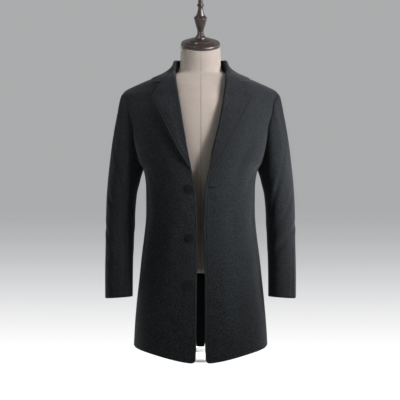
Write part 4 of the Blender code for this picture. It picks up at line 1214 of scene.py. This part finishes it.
def wood():
    varnish = {"Coat_Weight": 0.15, "Coat_Roughness": 0.2}
    look = Look("dark_stained_wood", Roughness=0.36, Specular_IOR_Level=0.4, **varnish)
    grain = look.noise(look.place((1, 1, 0.07)), 420, 6.0, 0.65, 0.8)
    figure = look.noise(look.place((1, 1, 0.18)), 60, 3.0, 0.55, 2.0)
    pores = look.noise(look.place((1, 1, 0.04)), 1500, 2.0)
    ground = look.mix(look.span(grain, 0.35, 0.65), (0.008, 0.006, 0.0045), (0.023, 0.017, 0.013))
    ground = look.mix(look.span(figure, 0.42, 0.66, 0.0, 0.6), ground, (0.034, 0.025, 0.019))
    ground = look.mix(look.span(pores, 0.62, 0.72, 0.0, 0.8), ground, (0.010, 0.007, 0.005))
    look.colour(ground)
    look.link(look.span(grain, 0.3, 0.7, 0.40, 0.27), look.shader.inputs["Roughness"])
    look.bump((pores, 0.00010), (grain, 0.00012))
    return look.made


def horn():
    look = Look("black_horn", Roughness=0.36, Specular_IOR_Level=0.25)
    streaks = look.noise(look.place((1, 0.25, 1)), 340, 4.0, 0.6, 1.5)
    look.colour(look.mix(look.span(streaks, 0.5, 0.72), (0.0012, 0.0012, 0.0014), (0.0045, 0.0042, 0.0042)))
    look.link(look.span(streaks, 0.3, 0.7, 0.30, 0.42), look.shader.inputs["Roughness"])
    look.bump((streaks, 0.00005))
    return look.made


def thread(name, low, high):
    look = Look(name, Roughness=0.85, Specular_IOR_Level=0.1)
    plies = look.noise(look.place(), 3000, 2.0)
    look.colour(look.mix(plies, low, high))
    look.bump((plies, 0.0001))
    return look.made


def painted_steel(name, clean, worn, rough=0.28, specular=0.5):
    look = Look(name, Roughness=rough, Specular_IOR_Level=specular)
    peel = look.noise(look.place(), 650, 2.0)
    dust = look.noise(look.place(), 30, 4.0)
    look.colour(look.mix(look.span(dust, 0.4, 0.7), clean, worn))
    look.link(look.span(dust, 0.3, 0.7, rough, rough + 0.1), look.shader.inputs["Roughness"])
    look.bump((peel, 0.00006))
    return look.made


def piece(made, slot, *nodes):
    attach(made, "root")
    if nodes:
        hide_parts(*nodes)
    return made


WOOL_SHADES = ((0.0012, 0.0015, 0.0016), (0.0104, 0.0129, 0.0135), (0.041, 0.050, 0.053))
# The undercollar's felt is real cloth, but it is coloured near black as painted shade under the collar's
# lifted ends.
UNDERCOLLAR_FELT_AND_SHADE = ((0.0008, 0.0009, 0.0010), (0.0016, 0.0018, 0.0020), (0.0030, 0.0034, 0.0037))
WHITE_PAINT = ((0.76, 0.76, 0.75), (0.70, 0.70, 0.69))
BLACK_PAINT = ((0.0008, 0.0008, 0.0009), (0.0016, 0.0016, 0.0017))
LEAF_RIM = (0.0026, 0.0048)  # the wider painted shade on the rims of lapels and collar
WOOL = wool("charcoal_wool", *WOOL_SHADES)
LEAF_WOOL = wool("charcoal_wool_wide_painted_rim_shade", *WOOL_SHADES, LEAF_RIM)
UNDERCOLLAR = wool("undercollar_felt_and_painted_shade", *UNDERCOLLAR_FELT_AND_SHADE)
SATIN = satin()
LINEN = linen()
WOOD = wood()
HORN = horn()
STEEL = painted_steel("white_painted_steel", *WHITE_PAINT)
BLACK_STEEL = painted_steel("black_painted_steel", *BLACK_PAINT, 0.65, 0.02)
THREAD_LOOK = thread("charcoal_thread", (0.004, 0.0045, 0.005), (0.012, 0.0135, 0.015))

# The size of the rectangle that each piece is cut from, and the area of the piece itself.
Cut = namedtuple("Cut", "width length area")


def cloth(made, node):
    """Puts a piece of cloth in a node's place: attaches it to the root and hides the node."""
    piece(made, "wool", node)


def coat():
    """All the coat's cloth. It returns the outer points of the pieces that have stitched edges."""
    grids = {}
    stretches = {"top": (BACK_SEAM - math.tau, FRONT_SEAM), "under": (FRONT_SEAM, BACK_SEAM)}
    for side in ("right", "left"):
        for which, make in (("front", front), ("back", back)):
            made, grids[f"{which}_{side}"] = make(side, (WOOL, SATIN))
            cloth(made, f"{which}_{side}")
        for which, stretch in stretches.items():
            made = sleeve(f"coat_sleeve_{which}_{side}", *stretch, side, (WOOL, SATIN))
            cloth(made, f"sleeve_{which}_{side}")
        made, grids[f"lapel_{side}"] = lapel(side, (LEAF_WOOL,))
        cloth(made, f"lapel_{side}")
    made, grids["collar"] = collar((LEAF_WOOL, UNDERCOLLAR))
    cloth(made, "collar")
    return grids


def edge_stitches(grids):
    """Rows of stitches by the edges of fronts, lapels and collar, clear of their corners."""
    for side in ("right", "left"):
        grid = grids[f"front_{side}"]
        rows = [row for row in range(len(RISE) - 2) if grid[row, 0, 2] > HEM_CENTRE + 0.010]
        stitches(f"stitches_front_{side}", *stitch_line(grid, rows, side, False))
        grid = grids[f"lapel_{side}"]
        stitches(f"stitches_lapel_{side}", *stitch_line(grid, range(6, len(grid) - 8), side, True))
    grid = grids["collar"]
    stitches("stitches_collar", *stitch_line(grid, range(5, len(grid) - 5), "left", True))


def placed(made, x, height, side, above):
    """Sets a piece on the front, its +Z outward."""
    angle = front_angle(x, height)
    out = Vector(body_normal(angle, height) * MIRROR[side])
    base = Vector(body(angle, height) * MIRROR[side]) + out * above
    turn = Vector((0, 0, 1)).rotation_difference(out)
    made.matrix_world = Matrix.Translation(base) @ turn.to_matrix().to_4x4()
    return made


def tube(path, radius, sides=8):
    """Points and faces of a closed tube along a path."""
    path = np.array(path, float)
    tangent = unit(np.gradient(path, axis=0))
    up = np.where(abs(tangent[:, 2:]) > 0.9, [[1.0, 0, 0]], [[0, 0, 1.0]])
    across = unit(np.cross(tangent, up))
    other = np.cross(across, tangent)
    turns = np.linspace(0, math.tau, sides, endpoint=False)
    rings = path[:, None] + radius * (
        across[:, None] * np.cos(turns)[None, :, None] + other[:, None] * np.sin(turns)[None, :, None]
    )
    return rings.reshape(-1, 3), tube_faces(len(path), sides)


def joined(name, parts):
    """Threads, as points and faces, in one piece."""
    points, faces = [], []
    for more, their_faces in parts:
        faces += [tuple(i + len(points) for i in face) for face in their_faces]
        points += [tuple(point) for point in more]
    return solid(name, points, faces, THREAD_LOOK)


def button(place):
    x, height = BUTTONS[place]
    made = turned(f"coat_button_{place}", BUTTON, HORN, 64, 3)
    cutters = []
    for quarter in range(4):
        turn = math.radians(45 + 90 * quarter)
        hole = turned(f"cutter_{place}_{quarter}", rod(BUTTON_HOLE, *DRILLED), HORN, 20, 1)
        hole.location = (BUTTON_HOLE_REACH * math.cos(turn), BUTTON_HOLE_REACH * math.sin(turn), 0)
        cut = made.modifiers.new("hole", "BOOLEAN")
        cut.object = hole
        cut.solver = "EXACT"
        cutters.append(hole)
    bpy.context.view_layer.update()
    mesh = bpy.data.meshes.new_from_object(made.evaluated_get(bpy.context.evaluated_depsgraph_get()))
    made.modifiers.clear()
    made.data = mesh
    mesh.shade_smooth()
    mesh.set_sharp_from_angle(angle=math.radians(40))
    for hole in cutters:
        bpy.data.objects.remove(hole)
    placed(made, x, height, "right", GAP)
    reach = BUTTON_HOLE_REACH / math.sqrt(2)
    runs = []
    for row in (-1, 1):
        for strand in (-0.32, 0.0, 0.32):
            y = row * reach + strand * BUTTON_HOLE
            runs.append(tube([(along * reach, y, lift) for along, lift in STRAND], STRAND_RADIUS))
    sewn = placed(joined(f"button_thread_{place}", runs), x, height, "right", GAP)
    piece(made, "horn", f"button_{place}")
    piece(sewn, "horn")


def loop_of_thread(start, end, rise=0.0004):
    """A thread that comes out of the cloth at one place and goes back in at another."""
    start, end = np.array(start), np.array(end)
    return tube([(*start, -0.0001), (*((start + end) / 2), rise), (*end, -0.0001)], 0.00030, 6)


def buttonhole(place):
    """A worked buttonhole: short threads laid side by side round a slit with a round end."""
    x, height = BUTTONHOLES[place]
    half, eye, slit, width = BUTTONHOLE_LENGTH / 2, 0.0017, 0.00025, 0.0018
    runs = []
    for row in (-1, 1):
        for along in np.arange(-half, half - 2 * eye, 0.00062):
            runs.append(loop_of_thread((along, row * slit), (along, row * (slit + width))))
    for turn in np.radians(np.arange(-150, 151, 17)):
        way = np.array([math.cos(turn), math.sin(turn)])
        middle = np.array([half - eye, 0])
        runs.append(loop_of_thread(middle + way * 0.0007, middle + way * 0.0025))
    for row in (-0.0012, -0.0004, 0.0004, 0.0012):
        runs.append(loop_of_thread((-half - 0.0004, row), (-half + 0.0004, row), 0.0005))
    made = joined(f"buttonhole_{place}", runs)
    for vertex in made.data.vertices:
        vertex.co.x *= -1
    made.data.flip_normals()
    placed(made, x, height, "left", 0.0001)
    piece(made, "wool")


Seam = namedtuple("Seam", "at width bow top")
FORM_SEAMS = (
    Seam(0, 0.45, 0, 1.0),
    Seam(180, 0.45, 0, 1.0),
    Seam(38, 0.50, 4, 0.80),
    Seam(142, 0.50, 4, 0.80),
    Seam(218, 0.50, -4, 0.80),
    Seam(322, 0.50, -4, 0.80),
)
FORM_REACH = 0.13  # turns angles round the form into lengths of its cover's weave
FORM_COLUMNS = 288


def torso():
    """The form's cover: one closed skin, with the grooves of its seams."""
    low, high = FORM[0].height, FORM[-1].height
    heights = np.unique(np.concatenate([np.linspace(low, high, 150), [row.height for row in FORM]]))
    angle, height = np.meshgrid(np.linspace(0, math.tau, FORM_COLUMNS, endpoint=False), heights)
    grid = section(FORM, angle, height)
    slant = np.clip((height - NECK_SLANT_FROM) / (NECK_TOP - NECK_SLANT_FROM), 0, 1)
    grid[..., 2] += slant * math.tan(CAP_SLOPE) * grid[..., 1]
    depth = np.zeros(grid.shape[:2])
    for seam in FORM_SEAMS:
        off = (np.degrees(angle) - seam.at - seam.bow * np.sin(height * 6) + 180) % 360 - 180
        depth = np.maximum(depth, (height < seam.top) * bell(off, seam.width))
    made = skin("form_cover", grid, grid[0].mean(axis=0), grid[-1].mean(axis=0), LINEN)
    mesh = made.data
    add_layer(mesh, "seam", (depth.reshape(-1), [0, 0]))
    corners = np.empty(len(mesh.loops), np.int32)
    mesh.loops.foreach_get("vertex_index", corners)
    flat = np.stack([angle * FORM_REACH, grid[..., 2]], -1).reshape(-1, 2)
    flat = np.concatenate([flat, [[0, low], [0, high]]])
    mesh.uv_layers.new(name="UVMap").data.foreach_set("uv", flat[corners].astype(np.float32).reshape(-1))
    piece(made, "linen", "form_torso")


def leaning(made, along):
    lean = Matrix.Rotation(CAP_SLOPE, 4, "X")
    made.matrix_world = Matrix.Translation((0, 0, NECK_TOP)) @ lean @ Matrix.Translation((0, 0, along))
    return made


def form():
    torso()
    cap = leaning(turned("neck_cap", CAP, WOOD), GAP)
    piece(cap, "wood", "form_cap")
    finial = leaning(turned("finial", FINIAL, WOOD, 64), CAP[-1].height + 2 * GAP)
    piece(finial, "wood", "form_finial")
    piece(turned("foot_plate", FOOT, STEEL, 128, 2), "steel", "form_base")
    low, high = FOOT[-1].height + GAP, FORM[0].height - GAP
    piece(turned("post", rod(POST_RADIUS, low, high), BLACK_STEEL, 48, 1), "post_paint", "form_post")


def linear(level):
    """A display level from 0 to 255 as linear light."""
    level = level / 255
    return level / 12.92 if level <= 0.04045 else ((level + 0.055) / 1.055) ** 2.4


# The backdrop's light: levels by distance along the floor, from the edge of a square round the object.
FLOOR_LEVELS = (
    (0.0, 264),
    (0.28, 252),
    (0.72, 240),
    (1.286, 227),
    (2.05, 212),
    (3.16, 197),
    (4.90, 184),
    (7.99, 174),
    (11.45, 171.5),
)
CLEAR_SQUARE = 0.6  # half the width of the square, behind whose back edge the object stands
SURROUND = 14.0  # radius of the floor and of the wall round it
WALL_HEIGHT = 9.0
CARD_AT = 1.286  # behind the object: a glowing card that the camera doesn't see
CARD_HEIGHT = 4.0
CARD_WIDTH = 12.0
WALL_LEVEL = 171.5
SKY_COLOUR = (0.90, 0.95, 1.0, 1)
SKY_STRENGTH = 0.07


def grey(level):
    value = linear(level)
    return (value * 0.992, value, value * 1.012, 1) if level < 240 else (value, value, value, 1)


def glowing(name, level):
    """A look that gives plain light, at one level or along the floor."""
    look = Look(name)
    glow = look.node("ShaderNodeEmission", Color=grey(level))
    look.link(glow.outputs[0], look.tree.nodes["Material Output"].inputs["Surface"])
    return look, glow


def floor_look():
    look, glow = glowing("pale_floor", WALL_LEVEL)
    split = look.node("ShaderNodeSeparateXYZ")
    look.link(look.node("ShaderNodeNewGeometry").outputs["Position"], split.inputs[0])
    across = look.math("SUBTRACT", look.math("ABSOLUTE", split.outputs[0]), CLEAR_SQUARE)
    before = look.math("SUBTRACT", look.math("MULTIPLY", split.outputs[1], -1.0), CLEAR_SQUARE)
    away = look.math("MAXIMUM", look.math("MAXIMUM", across, before), split.outputs[1])
    far = FLOOR_LEVELS[-1][0]
    ramp = look.node("ShaderNodeValToRGB")
    look.link(look.span(away, 0.0, far), ramp.inputs["Fac"])
    elements = ramp.color_ramp.elements
    while len(elements) < len(FLOOR_LEVELS):
        elements.new(0.5)
    for element, (at, level) in zip(elements, FLOOR_LEVELS):
        element.position = at / far
        element.color = grey(level)
    look.link(ramp.outputs["Color"], glow.inputs["Color"])
    return look.made


def flat_piece(name, corners, look):
    made = solid(name, corners, [tuple(range(len(corners)))], look)
    made.data.shade_flat()
    return made


def studio():
    turns = np.linspace(0, math.tau, 97)[:-1]
    ring = [(SURROUND * math.cos(turn), SURROUND * math.sin(turn)) for turn in turns]
    flat_piece("floor", [(x, y, 0) for x, y in ring], floor_look())
    count = len(ring)
    points = [(x, y, 0) for x, y in ring] + [(x, y, WALL_HEIGHT) for x, y in ring]
    sides = [(i, (i + 1) % count, (i + 1) % count + count, i + count) for i in range(count)]
    wall = solid("wall", points, sides, glowing("pale_wall", WALL_LEVEL)[0].made)
    wall.visible_diffuse = wall.visible_glossy = wall.visible_shadow = False
    wide, high = CARD_WIDTH / 2, CARD_HEIGHT
    corners = [(x, CARD_AT, z) for x, z in ((-wide, 0), (wide, 0), (wide, high), (-wide, high))]
    card = flat_piece("card", corners, glowing("card", WALL_LEVEL)[0].made)
    card.visible_camera = False
    world = bpy.data.worlds.new("studio")
    world.use_nodes = True
    sky = world.node_tree.nodes["Background"].inputs
    sky["Color"].default_value = SKY_COLOUR
    sky["Strength"].default_value = SKY_STRENGTH
    bpy.context.scene.world = world


Lamp = namedtuple("Lamp", "name place target size power colour spread", defaults=(180,))
LAMPS = (
    Lamp("key", (1.12, -0.76, 1.15), (0.0, 0.0, 0.95), 0.60, 14.6, (1.0, 0.93, 1.0), 90),
    Lamp("top", (-0.9, -0.8, 2.2), (-0.1, 0.0, 0.8), 1.0, 2.5, (1.0, 0.97, 1.0)),
    Lamp("side", (2.0, -0.5, 0.55), (0.28, 0.0, 0.42), 0.7, 1.0, (1.0, 0.96, 1.0), 80),
    Lamp("sleeve", (1.9, -1.5, 0.50), (0.29, 0.0, 0.47), 0.35, 2.1, (1.0, 0.97, 1.0), 24),
    Lamp("shoulder", (-0.75, -0.9, 1.75), (-0.17, 0.0, 0.83), 0.30, 0.45, (1.0, 0.97, 1.0), 22),
    Lamp("under", (0.0, -0.045, 0.240), (0.0, -0.045, 0.0), 0.10, 0.22, (1.0, 1.0, 1.0), 62),
    Lamp("fill", (-2.4, -1.6, 1.2), (0.0, 0.0, 0.6), 1.6, 4.5, (0.97, 0.99, 1.0)),
    Lamp("rim_right", (-1.8, 1.0, 1.2), (0.0, 0.0, 0.6), 0.8, 5.0, (1.0, 1.0, 1.0)),
    Lamp("rim_left", (1.8, 1.0, 1.2), (0.0, 0.0, 0.6), 0.8, 6.0, (1.0, 1.0, 1.0)),
)


def lights():
    for lamp in LAMPS:
        light = bpy.data.lights.new(lamp.name, "AREA")
        light.energy = lamp.power
        light.size = lamp.size
        light.color = lamp.colour
        light.spread = math.radians(lamp.spread)
        made = added(lamp.name, light)
        made.location = lamp.place
        way = Vector(lamp.target) - Vector(lamp.place)
        made.rotation_euler = way.to_track_quat("-Z", "Y").to_euler()


CAMERA_DISTANCE = 3.0
CAMERA_HEIGHT = 0.5686
CAMERA_SIDE = -0.0015
CAMERA_REACH = 60
CAMERA_PITCH = math.radians(1.796)
FOCAL_PIXELS = 991.2
PICTURE = 400
SENSOR = 36.0


def camera():
    lens = bpy.data.cameras.new("camera")
    lens.sensor_width = SENSOR
    lens.lens = FOCAL_PIXELS * SENSOR / PICTURE
    lens.clip_end = CAMERA_REACH
    made = added("camera", lens)
    made.location = (CAMERA_SIDE, -CAMERA_DISTANCE, CAMERA_HEIGHT)
    made.rotation_euler = (math.pi / 2 - CAMERA_PITCH, 0, 0)
    bpy.context.scene.camera = made


def main():
    camera()
    edge_stitches(coat())
    for place in BUTTONS:
        button(place)
        buttonhole(place)
    form()
    studio()
    lights()
    bpy.context.scene.view_settings.view_transform = "Standard"
    bpy.context.view_layer.update()


main()
